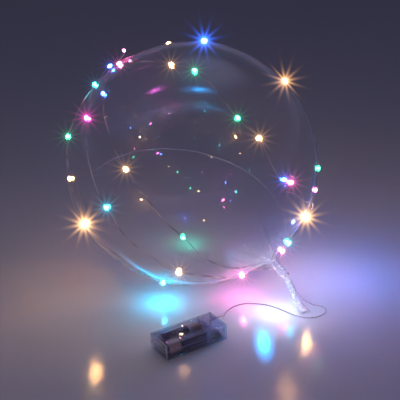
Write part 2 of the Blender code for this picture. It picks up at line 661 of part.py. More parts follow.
def main():
    for old in list(bpy.data.objects):
        bpy.data.objects.remove(old, do_unlink=True)
    make_balloon()
    wire_start, wire_way = make_lights()
    make_lead(make_battery_box(), wire_start, wire_way)


main()
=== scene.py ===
"""Looks of a clear bubble balloon wound with a string of lights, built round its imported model.

Metres, +Z up. The balloon rests on the origin, its neck points to +X, -Y and its battery box lies towards -Y.
"""

import json
import logging
import math
from dataclasses import dataclass
from enum import Enum
from typing import Any, Callable, Iterable, Sequence

import bmesh
import bpy
import numpy as np
from bpy.types import Material, Mesh, Node, NodeSocket, Object
from mathutils import Matrix, Vector


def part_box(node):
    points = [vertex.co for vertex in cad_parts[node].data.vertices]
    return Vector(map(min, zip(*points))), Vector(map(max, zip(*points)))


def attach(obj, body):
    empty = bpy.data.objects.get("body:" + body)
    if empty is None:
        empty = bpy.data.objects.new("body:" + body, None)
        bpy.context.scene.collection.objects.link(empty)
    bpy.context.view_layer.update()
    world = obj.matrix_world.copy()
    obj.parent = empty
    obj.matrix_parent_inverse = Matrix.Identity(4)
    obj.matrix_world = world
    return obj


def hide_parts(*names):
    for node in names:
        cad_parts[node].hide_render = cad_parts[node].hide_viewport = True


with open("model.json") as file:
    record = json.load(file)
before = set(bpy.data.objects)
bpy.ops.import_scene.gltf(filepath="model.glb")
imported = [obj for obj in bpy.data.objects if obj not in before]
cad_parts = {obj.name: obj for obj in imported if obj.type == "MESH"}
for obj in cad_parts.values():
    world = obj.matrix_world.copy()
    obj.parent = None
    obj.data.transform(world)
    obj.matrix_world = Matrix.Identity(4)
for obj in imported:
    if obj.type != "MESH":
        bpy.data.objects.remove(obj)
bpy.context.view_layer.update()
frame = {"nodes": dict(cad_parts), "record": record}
BODY = "root"
log = logging.getLogger("balloon")

Colour = tuple[float, float, float]
Place = tuple[float, float, float]


# Points and curves


def unit(way: Any) -> np.ndarray:
    """Scales a direction, or each row of directions, to a length of one."""
    way = np.asarray(way, float)
    return way / np.linalg.norm(way, axis=-1, keepdims=True)


def swell(angle: np.ndarray) -> np.ndarray:
    """Gives 0 to 1 and back for each turn of an angle in radians."""
    return 0.5 - 0.5 * np.cos(angle)


def direction(longitude: float, latitude: float) -> np.ndarray:
    """Finds a unit direction from the balloon's centre.

    Args:
        longitude: degrees from -Y, growing towards +X.
        latitude: degrees over the level.

    Returns:
        The direction, as three numbers.
    """
    turn, rise = math.radians(longitude), math.radians(latitude)
    return np.array((math.sin(turn) * math.cos(rise), -math.cos(turn) * math.cos(rise), math.sin(rise)))


def across(forward: np.ndarray) -> tuple[np.ndarray, np.ndarray]:
    """Finds the level side and the upper side of a section.

    Args:
        forward: unit direction that the section faces.

    Returns:
        The side and the upper side, as unit directions.
    """
    side = unit(np.cross((0.0, 0.0, 1.0), forward))
    return side, np.cross(forward, side)


def smooth_curve(points: Sequence[Sequence[float]], samples: int, power: float = 0.5) -> np.ndarray:
    """Draws a smooth curve through points.

    Args:
        points: the points that it passes.
        samples: how many points it has in each stretch.
        power: how far a stretch's share goes with its length, 0 for equal shares.

    Returns:
        The curve's points, one to a row.
    """
    points = np.asarray(points, float)
    track = np.vstack((2 * points[0] - points[1], points, 2 * points[-1] - points[-2]))
    found = []
    for p0, p1, p2, p3 in zip(track, track[1:], track[2:], track[3:]):
        t1 = np.linalg.norm(p1 - p0) ** power
        t2 = t1 + np.linalg.norm(p2 - p1) ** power
        t3 = t2 + np.linalg.norm(p3 - p2) ** power
        t = np.linspace(t1, t2, samples, endpoint=False)[:, None]
        a1 = (t1 - t) / t1 * p0 + t / t1 * p1
        a2 = (t2 - t) / (t2 - t1) * p1 + (t - t1) / (t2 - t1) * p2
        a3 = (t3 - t) / (t3 - t2) * p2 + (t - t2) / (t3 - t2) * p3
        b1 = (t2 - t) / t2 * a1 + t / t2 * a2
        b2 = (t3 - t) / (t3 - t1) * a2 + (t - t1) / (t3 - t1) * a3
        found.append((t2 - t) / (t2 - t1) * b1 + (t - t1) / (t2 - t1) * b2)
    return np.vstack(found + [points[-1:]])


def evenly(points: np.ndarray, step: float) -> np.ndarray:
    """Spaces points along a line.

    Args:
        points: the line, one point to a row.
        step: about how far apart the new points are.

    Returns:
        The new points, with the line's two ends.
    """
    run = np.concatenate(([0.0], np.cumsum(np.linalg.norm(np.diff(points, axis=0), axis=1))))
    lengths = np.linspace(0.0, run[-1], max(2, round(run[-1] / step) + 1))
    return np.stack([np.interp(lengths, run, points[:, k]) for k in range(3)], axis=1)


def middle_line(node: str, near: np.ndarray, thickness: float) -> np.ndarray:
    """Reads the centreline of a packed tube, ring after ring.

    Args:
        node: the tube's name in the model.
        near: a point near the end where the line starts.
        thickness: the tube's diameter.

    Returns:
        The middle of each ring of the tube, one to a row.
    """
    shape = bmesh.new()
    shape.from_mesh(frame["nodes"][node].data)
    bmesh.ops.remove_doubles(shape, verts=shape.verts, dist=1e-6)
    first = min(shape.verts, key=lambda vertex: (vertex.co - Vector(near)).length)
    ring = {vertex for vertex in shape.verts if (vertex.co - first.co).length < 1.2 * thickness}
    seen, middles = set(), []
    while ring:
        middles.append(np.mean([vertex.co[:] for vertex in ring], axis=0))
        seen |= ring
        ring = {edge.other_vert(vertex) for vertex in ring for edge in vertex.link_edges} - seen
    shape.free()
    return np.array(middles)


def middle(name: str) -> np.ndarray:
    """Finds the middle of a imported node's box."""
    return np.mean([tuple(corner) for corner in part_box(name)], axis=0)


# Meshes and pieces


def drawn(name: str, points: Any, edges: Sequence = (), faces: Sequence = ()) -> Mesh:
    """Makes a mesh from points, one to a row, and from the edges or faces between them.

    Args:
        name: the mesh's name.
        points: its points.
        edges: pairs of points.
        faces: rings of points.

    Returns:
        The mesh.
    """
    mesh = bpy.data.meshes.new(name)
    mesh.from_pydata(np.asarray(points, float).tolist(), edges, faces)
    return mesh


def drawn_line(name: str, points: np.ndarray, closed: bool = False) -> Mesh:
    """Makes a mesh of edges from point to point, and back to the first point if it is closed."""
    count = len(points)
    return drawn(name, points, [(k, (k + 1) % count) for k in range(count if closed else count - 1)])


def band(low: int, high: int, sides: int) -> list[tuple[int, ...]]:
    """Lists the faces between two rings of points, from the number of the first point of each."""
    return [(low + k, low + (k + 1) % sides, high + (k + 1) % sides, high + k) for k in range(sides)]


def smoothed(mesh: Mesh, angle: float = 35.0) -> Mesh:
    """Shades a mesh smooth, apart from its sharp edges.

    Args:
        mesh: the mesh, which is changed.
        angle: the sharpest angle, in degrees, that is still shaded smooth.

    Returns:
        The same mesh.
    """
    mesh.shade_smooth()
    mesh.set_sharp_from_angle(angle=math.radians(angle))
    return mesh


def loft(name: str, rings: np.ndarray, start: np.ndarray | None = None) -> Mesh:
    """Covers rings of equally many points with faces.

    Args:
        name: the mesh's name.
        rings: rings, their points and three numbers to each point.
        start: a point that closes the first ring, or None for its own middle.

    Returns:
        A closed mesh, smooth, whose last two points are the ends.
    """
    count, sides = rings.shape[:2]
    ends = [rings[0].mean(axis=0) if start is None else start, rings[-1].mean(axis=0)]
    faces = []
    for ring in range(count - 1):
        faces += band(ring * sides, (ring + 1) * sides, sides)
    last, base = (count - 1) * sides, count * sides
    for k in range(sides):
        after = (k + 1) % sides
        faces += [(base, after, k), (base + 1, last + k, last + after)]
    mesh = drawn(name, np.vstack((rings.reshape(-1, 3), ends)), faces=faces)
    outward(mesh)
    mesh.shade_smooth()
    return mesh


def outward(mesh: Mesh) -> None:
    """Points a closed mesh's faces out.

    Args:
        mesh: the mesh, which is changed.
    """
    shape = bmesh.new()
    shape.from_mesh(mesh)
    bmesh.ops.recalc_face_normals(shape, faces=shape.faces)
    shape.to_mesh(mesh)
    shape.free()


def turned(name: str, profile: Sequence[tuple[float, float]], sides: int) -> Mesh:
    """Turns a profile about X.

    Args:
        name: the mesh's name.
        profile: places along X and radii, from one end to the other.
        sides: how many sides the turned shape has.

    Returns:
        A closed mesh, with its place along X from 0 to 1 as the attribute run.
    """
    angles = np.arange(sides) * 2 * math.pi / sides
    rings = np.array([[(x, r * math.cos(a), r * math.sin(a)) for a in angles] for x, r in profile])
    mesh = smoothed(loft(name, rings), 40.0)
    places = np.array([vertex.co.x for vertex in mesh.vertices])
    keep_number(mesh, "run", (places - places.min()) / np.ptp(places))
    return mesh


def keep_number(mesh: Mesh, name: str, numbers: Any) -> None:
    """Keeps a number for each point of a mesh, or one for them all, as an attribute of this name."""
    values = np.broadcast_to(np.asarray(numbers, np.float32), len(mesh.vertices))
    mesh.attributes.new(name, "FLOAT", "POINT").data.foreach_set("value", np.ascontiguousarray(values))


def joined(name: str, meshes: Iterable[Mesh]) -> Mesh:
    """Puts closed meshes together as one, and removes them.

    Args:
        name: the new mesh's name.
        meshes: the meshes, which are removed.

    Returns:
        The one mesh.
    """
    shape = bmesh.new()
    for mesh in meshes:
        shape.from_mesh(mesh)
        bpy.data.meshes.remove(mesh)
    made = bpy.data.meshes.new(name)
    shape.to_mesh(made)
    shape.free()
    return made


def block(name: str, low: Sequence[float], high: Sequence[float], edge: float = 0.0) -> Mesh:
    """Makes a rectangular body with rounded edges.

    Args:
        name: the mesh's name.
        low: its lowest corner.
        high: its highest corner.
        edge: radius of its edges, or 0 for sharp ones.

    Returns:
        The closed mesh.
    """
    shape = bmesh.new()
    bmesh.ops.create_cube(shape, size=1.0)
    for vertex in shape.verts:
        vertex.co = Vector(low[k] if vertex.co[k] < 0 else high[k] for k in range(3))
    if edge:
        edges = shape.edges[:]
        bmesh.ops.bevel(shape, geom=edges, offset=edge, segments=3, profile=0.5, affect="EDGES")
    mesh = bpy.data.meshes.new(name)
    shape.to_mesh(mesh)
    shape.free()
    return smoothed(mesh)


def held(name: str, data: bpy.types.ID) -> Object:
    """Puts a mesh, a light or a camera in the scene under this name.

    Args:
        name: the object's name.
        data: what it shows.

    Returns:
        The object.
    """
    made = bpy.data.objects.new(name, data)
    bpy.context.scene.collection.objects.link(made)
    return made


def evaluated(holder: Object) -> Mesh:
    """Takes the plain mesh that an object's modifiers give, and removes the object.

    Args:
        holder: the object, which is removed.

    Returns:
        The mesh.
    """
    graph = bpy.context.evaluated_depsgraph_get()
    mesh = bpy.data.meshes.new_from_object(
        holder.evaluated_get(graph), preserve_all_data_layers=True, depsgraph=graph
    )
    bpy.data.objects.remove(holder)
    return mesh


def carved(name: str, body: Mesh, cutters: Iterable[Mesh]) -> Mesh:
    """Takes cutters out of a body.

    Args:
        name: the helpers' name.
        body: the mesh that is cut.
        cutters: closed meshes that are taken out of it.

    Returns:
        The mesh that is left.
    """
    holder = held(name, body)
    helpers = [held(f"{name} cutter", cutter) for cutter in cutters]
    for helper in helpers:
        cut = holder.modifiers.new("cut", "BOOLEAN")
        cut.operation, cut.object = "DIFFERENCE", helper
    mesh = evaluated(holder)
    for helper in helpers:
        bpy.data.objects.remove(helper)
    return smoothed(mesh)


def dress(mesh: Mesh, finish: Material) -> None:
    """Makes a finish the only material of a mesh."""
    mesh.materials.clear()
    mesh.materials.append(finish)


def piece(name: str, mesh: Mesh, finish: Material, nodes: Sequence[str] = ()) -> Object:
    """Makes a mesh a piece of the object.

    Args:
        name: the piece's name.
        mesh: its mesh, in its place.
        finish: its material.
        nodes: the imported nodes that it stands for.

    Returns:
        The piece, riding on the object's body.
    """
    dress(mesh, finish)
    made = held(name, mesh)
    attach(made, BODY)
    if nodes:
        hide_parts(*nodes)
    log.info("%s: %d faces", name, len(mesh.polygons))
    return made


# Trees of geometry nodes


class Tree:
    """A geometry node tree with named inputs, which ends in Realize Instances and Set Material."""

    def __init__(self, name: str, **inputs: str) -> None:
        """Starts the tree.

        Args:
            name: the tree's name.
            inputs: names of its inputs, each with its kind, such as Float or Int.
        """
        self.group = bpy.data.node_groups.new(name, "GeometryNodeTree")
        face = self.group.interface
        face.new_socket(name="Geometry", in_out="INPUT", socket_type="NodeSocketGeometry")
        for label, kind in {**inputs, "material": "Material"}.items():
            face.new_socket(name=label, in_out="INPUT", socket_type=f"NodeSocket{kind}")
        face.new_socket(name="Geometry", in_out="OUTPUT", socket_type="NodeSocketGeometry")
        self.given = self.group.nodes.new("NodeGroupInput").outputs

    def node(self, kind: str, settings: dict[str, Any] | None = None, **values: Any) -> Any:
        """Adds a node.

        Args:
            kind: its type, without the words GeometryNode in front.
            settings: its properties.
            values: values or links of its inputs, whose names have _ for a space, or in_1 for the second.

        Returns:
            The node's first output that is in use.
        """
        name = kind if kind.startswith(("Shader", "Function")) else f"GeometryNode{kind}"
        made = self.group.nodes.new(name)
        for key, value in (settings or {}).items():
            setattr(made, key, value)
        shown = [socket for socket in made.inputs if socket.enabled]
        for key, value in values.items():
            if key.startswith("in_"):
                socket = shown[int(key[3:])]
            else:
                socket = next(s for s in shown if s.name.lower() == key.replace("_", " ").lower())
            if isinstance(value, NodeSocket):
                self.group.links.new(value, socket)
            else:
                socket.default_value = value
        return next((socket for socket in made.outputs if socket.enabled), made)

    def maths(self, operation: str, *values: Any) -> Any:
        """Adds a Math node of this operation on values or links, and returns its output."""
        inputs = {f"in_{k}": value for k, value in enumerate(values)}
        return self.node("ShaderNodeMath", {"operation": operation}, **inputs)

    def tube(self, line: Any, sides: Any, radius: Any, **inputs: Any) -> Any:
        """Draws a smooth round tube along a curve.

        Args:
            line: the curve.
            sides: how many sides it has.
            radius: its radius.
            inputs: other inputs of the node that draws it.

        Returns:
            The node's output.
        """
        circle = self.node("CurvePrimitiveCircle", Resolution=sides, Radius=radius)
        swept = self.node("CurveToMesh", Curve=line, Profile_Curve=circle, **inputs)
        return self.node("SetShadeSmooth", Geometry=swept)

    def join(self, *shapes: Any) -> Any:
        """Joins geometries.

        Args:
            shapes: the geometries.

        Returns:
            The output.
        """
        made = self.group.nodes.new("GeometryNodeJoinGeometry")
        for shape in shapes:
            self.group.links.new(shape, made.inputs[0])
        return made.outputs[0]

    def end(self, shape: Any) -> "Tree":
        """Ends the tree on a geometry.

        Args:
            shape: the geometry that it gives.

        Returns:
            The tree.
        """
        real = self.node("RealizeInstances", in_0=shape)
        dressed = self.node("SetMaterial", Geometry=real, Material=self.given["material"])
        out = self.group.nodes.new("NodeGroupOutput")
        self.group.links.new(dressed, out.inputs[0])
        return self

    def grow(self, base: Mesh | None, finish: Material, **values: Any) -> Mesh:
        """Runs the tree.

        Args:
            base: the mesh that it starts from, or None.
            finish: the material that it sets.
            values: its other inputs.

        Returns:
            The plain mesh that it gives.
        """
        holder = held("growing", base or bpy.data.meshes.new("seed"))
        modifier = holder.modifiers.new("grow", "NODES")
        modifier.node_group = self.group
        for item in self.group.interface.items_tree:
            given = {**values, "material": finish}.get(item.name)
            if item.in_out == "INPUT" and given is not None:
                modifier[item.identifier] = given
        return evaluated(holder)


def pair_tree() -> Tree:
    """Two round strands twisted round a line, with the length along them as the attribute along."""
    tree = Tree("twisted pair", strand="Float", pitch="Float", sides="Int")
    line = tree.node("MeshToCurve", Mesh=tree.given["Geometry"])
    length = tree.group.nodes.new("GeometryNodeSplineParameter").outputs["Length"]
    kept = tree.node("StoreNamedAttribute", {"data_type": "FLOAT"}, Geometry=line, Name="along", Value=length)
    turns = tree.maths("DIVIDE", length, tree.given["pitch"])
    tilted = tree.node("SetCurveTilt", Curve=kept, Tilt=tree.maths("MULTIPLY", turns, 2 * math.pi))
    radius = tree.given["strand"]
    circle = tree.node("CurvePrimitiveCircle", Resolution=tree.given["sides"], Radius=radius)
    strands = []
    for way in (1.0, -1.0):
        off = tree.node("ShaderNodeCombineXYZ", X=tree.maths("MULTIPLY", radius, way))
        strands.append(tree.node("Transform", Geometry=circle, Translation=off))
    tube = tree.node("CurveToMesh", Curve=tilted, Profile_Curve=tree.join(*strands), Fill_Caps=True)
    return tree.end(tree.node("SetShadeSmooth", Geometry=tube))


def ridge_tree() -> Tree:
    """A round ridge along a closed line."""
    tree = Tree("weld ridge", radius="Float")
    line = tree.node("MeshToCurve", Mesh=tree.given["Geometry"])
    return tree.end(tree.tube(line, 6, tree.given["radius"]))


def drop_tree() -> Tree:
    """A drop of resin with a thin neck at each end, on every point, along the point's attribute way."""
    tree = Tree("resin drop", long="Float", radius="Float", neck="Float")
    half = tree.maths("MULTIPLY", tree.given["long"], 0.5)
    start = tree.node("ShaderNodeCombineXYZ", Z=tree.maths("MULTIPLY", half, -1.0))
    line = tree.node("CurvePrimitiveLine", Start=start, End=tree.node("ShaderNodeCombineXYZ", Z=half))
    fine = tree.node("ResampleCurve", Curve=line, Count=17)
    factor = tree.group.nodes.new("GeometryNodeSplineParameter").outputs["Factor"]
    place = tree.maths("ABSOLUTE", tree.maths("MULTIPLY_ADD", factor, 2.0, -1.0))
    dome = tree.maths("POWER", tree.maths("SUBTRACT", 1.0, tree.maths("POWER", place, 2.4)), 0.62)
    belly = tree.maths("SUBTRACT", tree.given["radius"], tree.given["neck"])
    width = tree.maths("MULTIPLY_ADD", dome, belly, tree.given["neck"])
    core = tree.maths("SUBTRACT", 1.0, tree.maths("POWER", place, 2.0))
    kept = tree.node("StoreNamedAttribute", {"data_type": "FLOAT"}, Geometry=fine, Name="core", Value=core)
    drop = tree.tube(kept, 14, 1.0, Scale=width, Fill_Caps=True)
    way = tree.node("InputNamedAttribute", {"data_type": "FLOAT_VECTOR"}, Name="way")
    turn = tree.node("FunctionNodeAlignRotationToVector", {"axis": "Z"}, Vector=way)
    drops = tree.node("InstanceOnPoints", Points=tree.given["Geometry"], Instance=drop, Rotation=turn)
    return tree.end(drops)


def coil_tree() -> Tree:
    """A coil of round wire that widens along Z."""
    tree = Tree("contact coil", wire="Float", turns="Float", start="Float", end="Float", height="Float")
    spiral = tree.node(
        "CurveSpiral",
        Resolution=20,
        Rotations=tree.given["turns"],
        Start_Radius=tree.given["start"],
        End_Radius=tree.given["end"],
        Height=tree.given["height"],
    )
    return tree.end(tree.tube(spiral, 8, tree.given["wire"], Fill_Caps=True))


def rib_tree() -> Tree:
    """A row of equal ribs along X."""
    tree = Tree("rib row", count="Int", first="Vector", step="Vector", size="Vector")
    row = tree.node(
        "MeshLine", Count=tree.given["count"], Start_Location=tree.given["first"], Offset=tree.given["step"]
    )
    rib = tree.node("MeshCube", Size=tree.given["size"])
    return tree.end(tree.node("InstanceOnPoints", Points=row, Instance=rib))


# Shaders


def math_operator(operation: str, swapped: bool = False) -> Callable[["Number", Any], "Number"]:
    """Makes an operator for Number.

    Args:
        operation: the operation of the Math node that it adds.
        swapped: whether the other number comes first.

    Returns:
        The operator's method.
    """

    def method(one: "Number", other: Any) -> "Number":
        """Adds the Math node on this number and another."""
        return one.net.maths(operation, *((other, one) if swapped else (one, other)))

    return method


@dataclass(frozen=True)
class Number:
    """A number in a shader tree, with Python's operators as its Math nodes."""

    net: "Net"
    socket: NodeSocket

    __add__ = __radd__ = math_operator("ADD")
    __sub__ = math_operator("SUBTRACT")
    __rsub__ = math_operator("SUBTRACT", swapped=True)
    __mul__ = __rmul__ = math_operator("MULTIPLY")
    __truediv__ = math_operator("DIVIDE")
    __pow__ = math_operator("POWER")

    def over(self, low: float, high: float) -> "Number":
        """Gives 0 under low and 1 over high, smoothly in between.

        Args:
            low: where it starts to grow.
            high: where it has grown to 1.

        Returns:
            The number.
        """
        values = {"Value": self, "From Min": low, "From Max": high}
        made = self.net.node("MapRange", {"interpolation_type": "SMOOTHSTEP"}, values)
        return Number(self.net, made.outputs[0])


class Net:
    """The node tree of one material, or of the world."""

    def __init__(self, name: str, world: bool = False) -> None:
        """Starts an empty material or world of this name.

        Args:
            name: the name of the material or world.
            world: whether it is the world.
        """
        self.owner = bpy.data.worlds.new(name) if world else bpy.data.materials.new(name)
        self.owner.use_nodes = True
        self.tree = self.owner.node_tree
        self.tree.nodes.clear()
        self.place = self.node("TexCoord").outputs["Generated" if world else "Object"]

    def node(
        self, kind: str, settings: dict[str, Any] | None = None, values: dict[Any, Any] | None = None
    ) -> Node:
        """Adds a node.

        Args:
            kind: its type, without the words ShaderNode in front.
            settings: its properties, which are set first.
            values: values or links of its inputs, by name or number. A colour has three numbers.

        Returns:
            The node.
        """
        made = self.tree.nodes.new(f"ShaderNode{kind}")
        for key, value in (settings or {}).items():
            setattr(made, key, value)
        for key, value in (values or {}).items():
            socket = made.inputs[key]
            source = value.socket if isinstance(value, Number) else value
            if isinstance(source, NodeSocket):
                self.tree.links.new(source, socket)
            else:
                socket.default_value = (*source, 1.0) if socket.type == "RGBA" else source
        return made

    def maths(self, operation: str, *values: Any) -> Number:
        """Adds a Math node of this operation, and returns its number."""
        made = self.node("Math", {"operation": operation}, dict(enumerate(values)))
        return Number(self, made.outputs[0])

    def noise(self, scale: float, detail: float = 2.0, stretch: Sequence[float] | None = None) -> Number:
        """Adds noise over the object's own coordinates.

        Args:
            scale: how many features it has in a metre.
            detail: how many finer layers it has.
            stretch: factors on the coordinates, or None.

        Returns:
            The noise, about 0 to 1.
        """
        place = self.place
        if stretch is not None:
            place = self.node("Mapping", None, {"Vector": place, "Scale": stretch}).outputs[0]
        made = self.node("TexNoise", None, {"Vector": place, "Scale": scale, "Detail": detail})
        return Number(self, made.outputs["Fac"])

    def attribute(self, name: str) -> Number:
        """Reads a number that the mesh keeps under this name."""
        return Number(self, self.node("Attribute", {"attribute_name": name}).outputs["Fac"])

    def facing(self) -> Number:
        """Gives 0 where the surface faces the eye, and 1 where it turns away."""
        return Number(self, self.node("LayerWeight", None, {"Blend": 0.5}).outputs["Facing"])

    def mirroring(self, head_on: float) -> Number:
        """Gives the share that a surface mirrors, which grows from this one to 1 as it turns away."""
        return head_on + (1 - head_on) * self.facing() ** 5

    def blend(self, fac: Any, one: Any, two: Any) -> NodeSocket:
        """Mixes two colours or links, and returns the mixed colour."""
        return self.node("Mix", {"data_type": "RGBA"}, {0: fac, 6: one, 7: two}).outputs[2]

    def bump(
        self, height: Number, depth: float, strength: float = 1.0, below: NodeSocket | None = None
    ) -> NodeSocket:
        """Turns a height into a normal.

        Args:
            height: the height, from 0 to 1.
            depth: what a height of 1 is in metres.
            strength: how much of it shows.
            below: a normal that it is added to, or None.

        Returns:
            The normal.
        """
        values = {"Height": height, "Distance": depth, "Strength": strength}
        if below is not None:
            values["Normal"] = below
        return self.node("Bump", None, values).outputs[0]

    def surface(self, values: dict[str, Any]) -> Node:
        """Adds a Principled shader with these inputs."""
        return self.node("BsdfPrincipled", None, values)

    def clear(self, colour: Colour) -> Node:
        """Adds a Transparent shader."""
        return self.node("BsdfTransparent", None, {"Color": colour})

    def gloss(self, roughness: Number, normal: NodeSocket) -> Node:
        """Adds a white Glossy shader."""
        white = (1.0, 1.0, 1.0)
        return self.node("BsdfGlossy", None, {"Color": white, "Roughness": roughness, "Normal": normal})

    def mix(self, fac: Any, one: Node, two: Node) -> Node:
        """Mixes two shaders."""
        return self.node("MixShader", None, {0: fac, 1: one.outputs[0], 2: two.outputs[0]})

    def done(self, shader: Node) -> Any:
        """Shows a shader on the material or world.

        Args:
            shader: the shader.

        Returns:
            The material or world.
        """
        kind = "OutputWorld" if isinstance(self.owner, bpy.types.World) else "OutputMaterial"
        self.node(kind, None, {"Surface": shader.outputs[0]})
        return self.owner


class Tint(Enum):
    """Colours of the lamps, as the light that they give."""

    WARM = (1.0, 0.52, 0.20)
    BLUE = (0.03, 0.14, 1.0)
    GREEN = (0.02, 0.85, 0.32)
    PINK = (1.0, 0.12, 0.42)
    MAGENTA = (1.0, 0.04, 0.50)
    CYAN = (0.02, 0.62, 0.90)


@dataclass(frozen=True)
class FilmFinish:
    """Clear stretch film: mirrors a little head on and more at its edge, whitens where it is creased, and has
    a painted highlight along its outline.
    """

    head_on: float = 0.05
    passing: Colour = (0.982, 0.983, 0.990)
    soft_share: float = 0.28
    sharp_roughness: float = 0.006
    soft_roughness: float = 0.22
    wave_depth: float = 0.0002
    crinkle_depth: float = 0.0012
    veil: float = 0.010
    # Share of a painted highlight: a white layer along the film's outline
    rim_veil: float = 0.60
    crease_veil: float = 0.65
    speck_veil: float = 0.12
    white: Colour = (0.86, 0.88, 0.95)

    def make(self) -> Material:
        """Builds the material."""
        net = Net("clear film")
        crease = net.attribute("crease")
        edge = net.mirroring(self.head_on)
        crinkle = net.noise(420.0, 4.0)
        waves = net.bump(net.noise(38.0, 3.0, (1.0, 1.0, 0.55)), self.wave_depth)
        normal = net.bump(crinkle * crease, self.crinkle_depth, 0.8, waves)
        smudge = net.noise(26.0, 3.0).over(0.45, 0.75)
        sharp = net.gloss(self.sharp_roughness + 0.02 * smudge + 0.10 * crease, normal)
        soft = net.gloss(self.soft_roughness + 0.10 * smudge, normal)
        # Both faces of the film mirror
        film = net.mix(2 * edge / (1 + edge), net.clear(self.passing), net.mix(self.soft_share, sharp, soft))
        values = {"Base Color": self.white, "Roughness": 0.30, "Specular IOR Level": 0.6, "Normal": normal}
        specks = net.noise(900.0, 0.0).over(0.80, 0.86) * self.speck_veil
        # Painted highlight: a white layer that grows where the film turns away from the eye
        rim = self.rim_veil * net.facing() ** 12
        creased = crease * (0.25 + 0.75 * crinkle.over(0.35, 0.70)) * self.crease_veil
        return net.done(net.mix(self.veil + rim + specks + creased, film, net.surface(values)))


@dataclass(frozen=True)
class ResinFinish:
    """A drop of resin lit from inside by its diode, brighter in the middle."""

    tint: Tint
    strength: float = 1200.0
    resin_share: float = 0.10

    def make(self) -> Material:
        """Builds the material."""
        net = Net(f"{self.tint.name.lower()} resin")
        chip = self.resin_share + (1 - self.resin_share) * net.attribute("core") ** 5
        pale = tuple(0.5 + 0.5 * c for c in self.tint.value)
        values = {
            "Base Color": net.blend(net.noise(700.0), pale, (0.9, 0.9, 0.9)),
            "Roughness": 0.10 + 0.15 * net.noise(1500.0),
            "Coat Weight": 0.6,
            "Emission Color": net.blend(net.attribute("level") * chip, (0.0, 0.0, 0.0), self.tint.value),
            "Emission Strength": self.strength,
        }
        return net.done(net.surface(values))


@dataclass(frozen=True)
class CopperFinish:
    """Thin copper wire under clear lacquer, darker in places along its length: partly its tone, partly
    painted light and shade.
    """

    # Pale and dark copper: partly the wire's tones, partly lit and shaded copies of it painted in patches
    bright: Colour = (0.94, 0.80, 0.76)
    dull: Colour = (0.30, 0.22, 0.22)
    rings: float = 2600.0

    def make(self) -> Material:
        """Builds the material."""
        net = Net("lacquered copper")
        # Dark patches along the wire: partly a change of tone, partly painted shade between painted
        # highlights
        dark = net.noise(60.0, 3.0).over(0.40, 0.65)
        ring = net.maths("SINE", net.attribute("along") * self.rings) * 0.5 + 0.5
        values = {
            "Base Color": net.blend(dark, self.bright, self.dull),
            "Metallic": 0.25,
            "Roughness": 0.34 + 0.18 * dark,
            "Coat Weight": 0.5,
            "Normal": net.bump(ring, 0.00002, 0.5),
        }
        return net.done(net.surface(values))


@dataclass(frozen=True)
class ClearPlasticFinish:
    """Clear hard plastic with faint scuffs, moulding ripples and a painted highlight on its edges and seam.
    """

    tint: Colour = (0.86, 0.87, 0.92)
    pale: Colour = (0.80, 0.82, 0.92)
    head_on: float = 0.035
    glass_share: float = 0.22
    veil: float = 0.012
    # Share of a painted highlight on rounded edges and where the halves meet
    rim_veil: float = 0.36

    def make(self) -> Material:
        """Builds the material."""
        net = Net("clear plastic")
        rough = 0.03 + 0.10 * net.noise(160.0, 4.0, (1.0, 6.0, 1.0)).over(0.60, 0.78)
        normal = net.bump(net.noise(90.0, 1.0), 0.0002, 0.3)
        values = {
            "Base Color": self.tint,
            "Roughness": rough,
            "Transmission Weight": 1.0,
            "IOR": 1.46,
            "Normal": normal,
        }
        thin = net.mix(net.mirroring(self.head_on), net.clear(self.tint), net.gloss(rough, normal))
        wall = net.mix(self.glass_share, thin, net.surface(values))
        pale = net.surface({"Base Color": self.pale, "Roughness": 0.25})
        # Pale surface: an even faint haze, plus a painted highlight on the faces that the attribute rim marks
        return net.done(net.mix(self.veil + self.rim_veil * net.attribute("rim"), wall, pale))


@dataclass(frozen=True)
class SleeveFinish:
    """A cell's shrink sleeve: dark and glossy, with a paler band at one end and bare metal past both."""

    dark: Colour = (0.130, 0.090, 0.220)
    band: Colour = (0.94, 0.54, 0.42)
    metal: Colour = (0.68, 0.68, 0.70)

    def make(self) -> Material:
        """Builds the material."""
        net = Net("cell sleeve")
        run = net.attribute("run")
        banded = run.over(0.060, 0.066) * (1 - run.over(0.345, 0.351))
        bare = 1 - run.over(0.034, 0.038) * (1 - run.over(0.975, 0.979))
        grain = net.noise(260.0, 3.0)
        values = {
            "Base Color": net.blend(bare, net.blend(banded, self.dark, self.band), self.metal),
            "Metallic": 0.85 + 0.1 * bare - 0.35 * banded,
            "Roughness": 0.14 + 0.10 * grain,
            "Coat Weight": 0.9 - 0.8 * bare,
            "Normal": net.bump(grain, 0.00006, 0.5),
        }
        return net.done(net.surface(values))


@dataclass(frozen=True)
class PlainFinish:
    """A surface of one colour with fine grain, worn paler in places."""

    name: str
    colour: Colour
    worn: Colour
    roughness: float
    metallic: float = 0.0
    grain: float = 900.0

    def make(self) -> Material:
        """Builds the material."""
        net = Net(self.name)
        patches = net.noise(180.0, 4.0).over(0.45, 0.72)
        grain = net.noise(self.grain, 2.0)
        values = {
            "Base Color": net.blend(patches, self.colour, self.worn),
            "Metallic": self.metallic,
            "Roughness": self.roughness + 0.15 * grain,
            "Normal": net.bump(grain, 0.00005, 0.6),
        }
        return net.done(net.surface(values))


@dataclass(frozen=True)
class FloorFinish:
    """A plain pale floor with a soft sheen."""

    colour: Colour = (0.74, 0.74, 0.79)
    paler: float = 1.03

    def make(self) -> Material:
        """Builds the material."""
        net = Net("floor")
        soft = net.noise(7.0, 3.0)
        paler = tuple(self.paler * c for c in self.colour)
        values = {"Base Color": net.blend(soft, self.colour, paler), "Roughness": 0.15 + 0.05 * soft}
        return net.done(net.surface(values))


# The balloon


# The tied neck: how far each section is past the neck's start, and its share of the neck's radius
TIE = ((0.0, 1.0), (0.0016, 1.02), (0.0040, 1.04), (0.0065, 1.06), (0.0100, 1.24), (0.0145, 0.86))
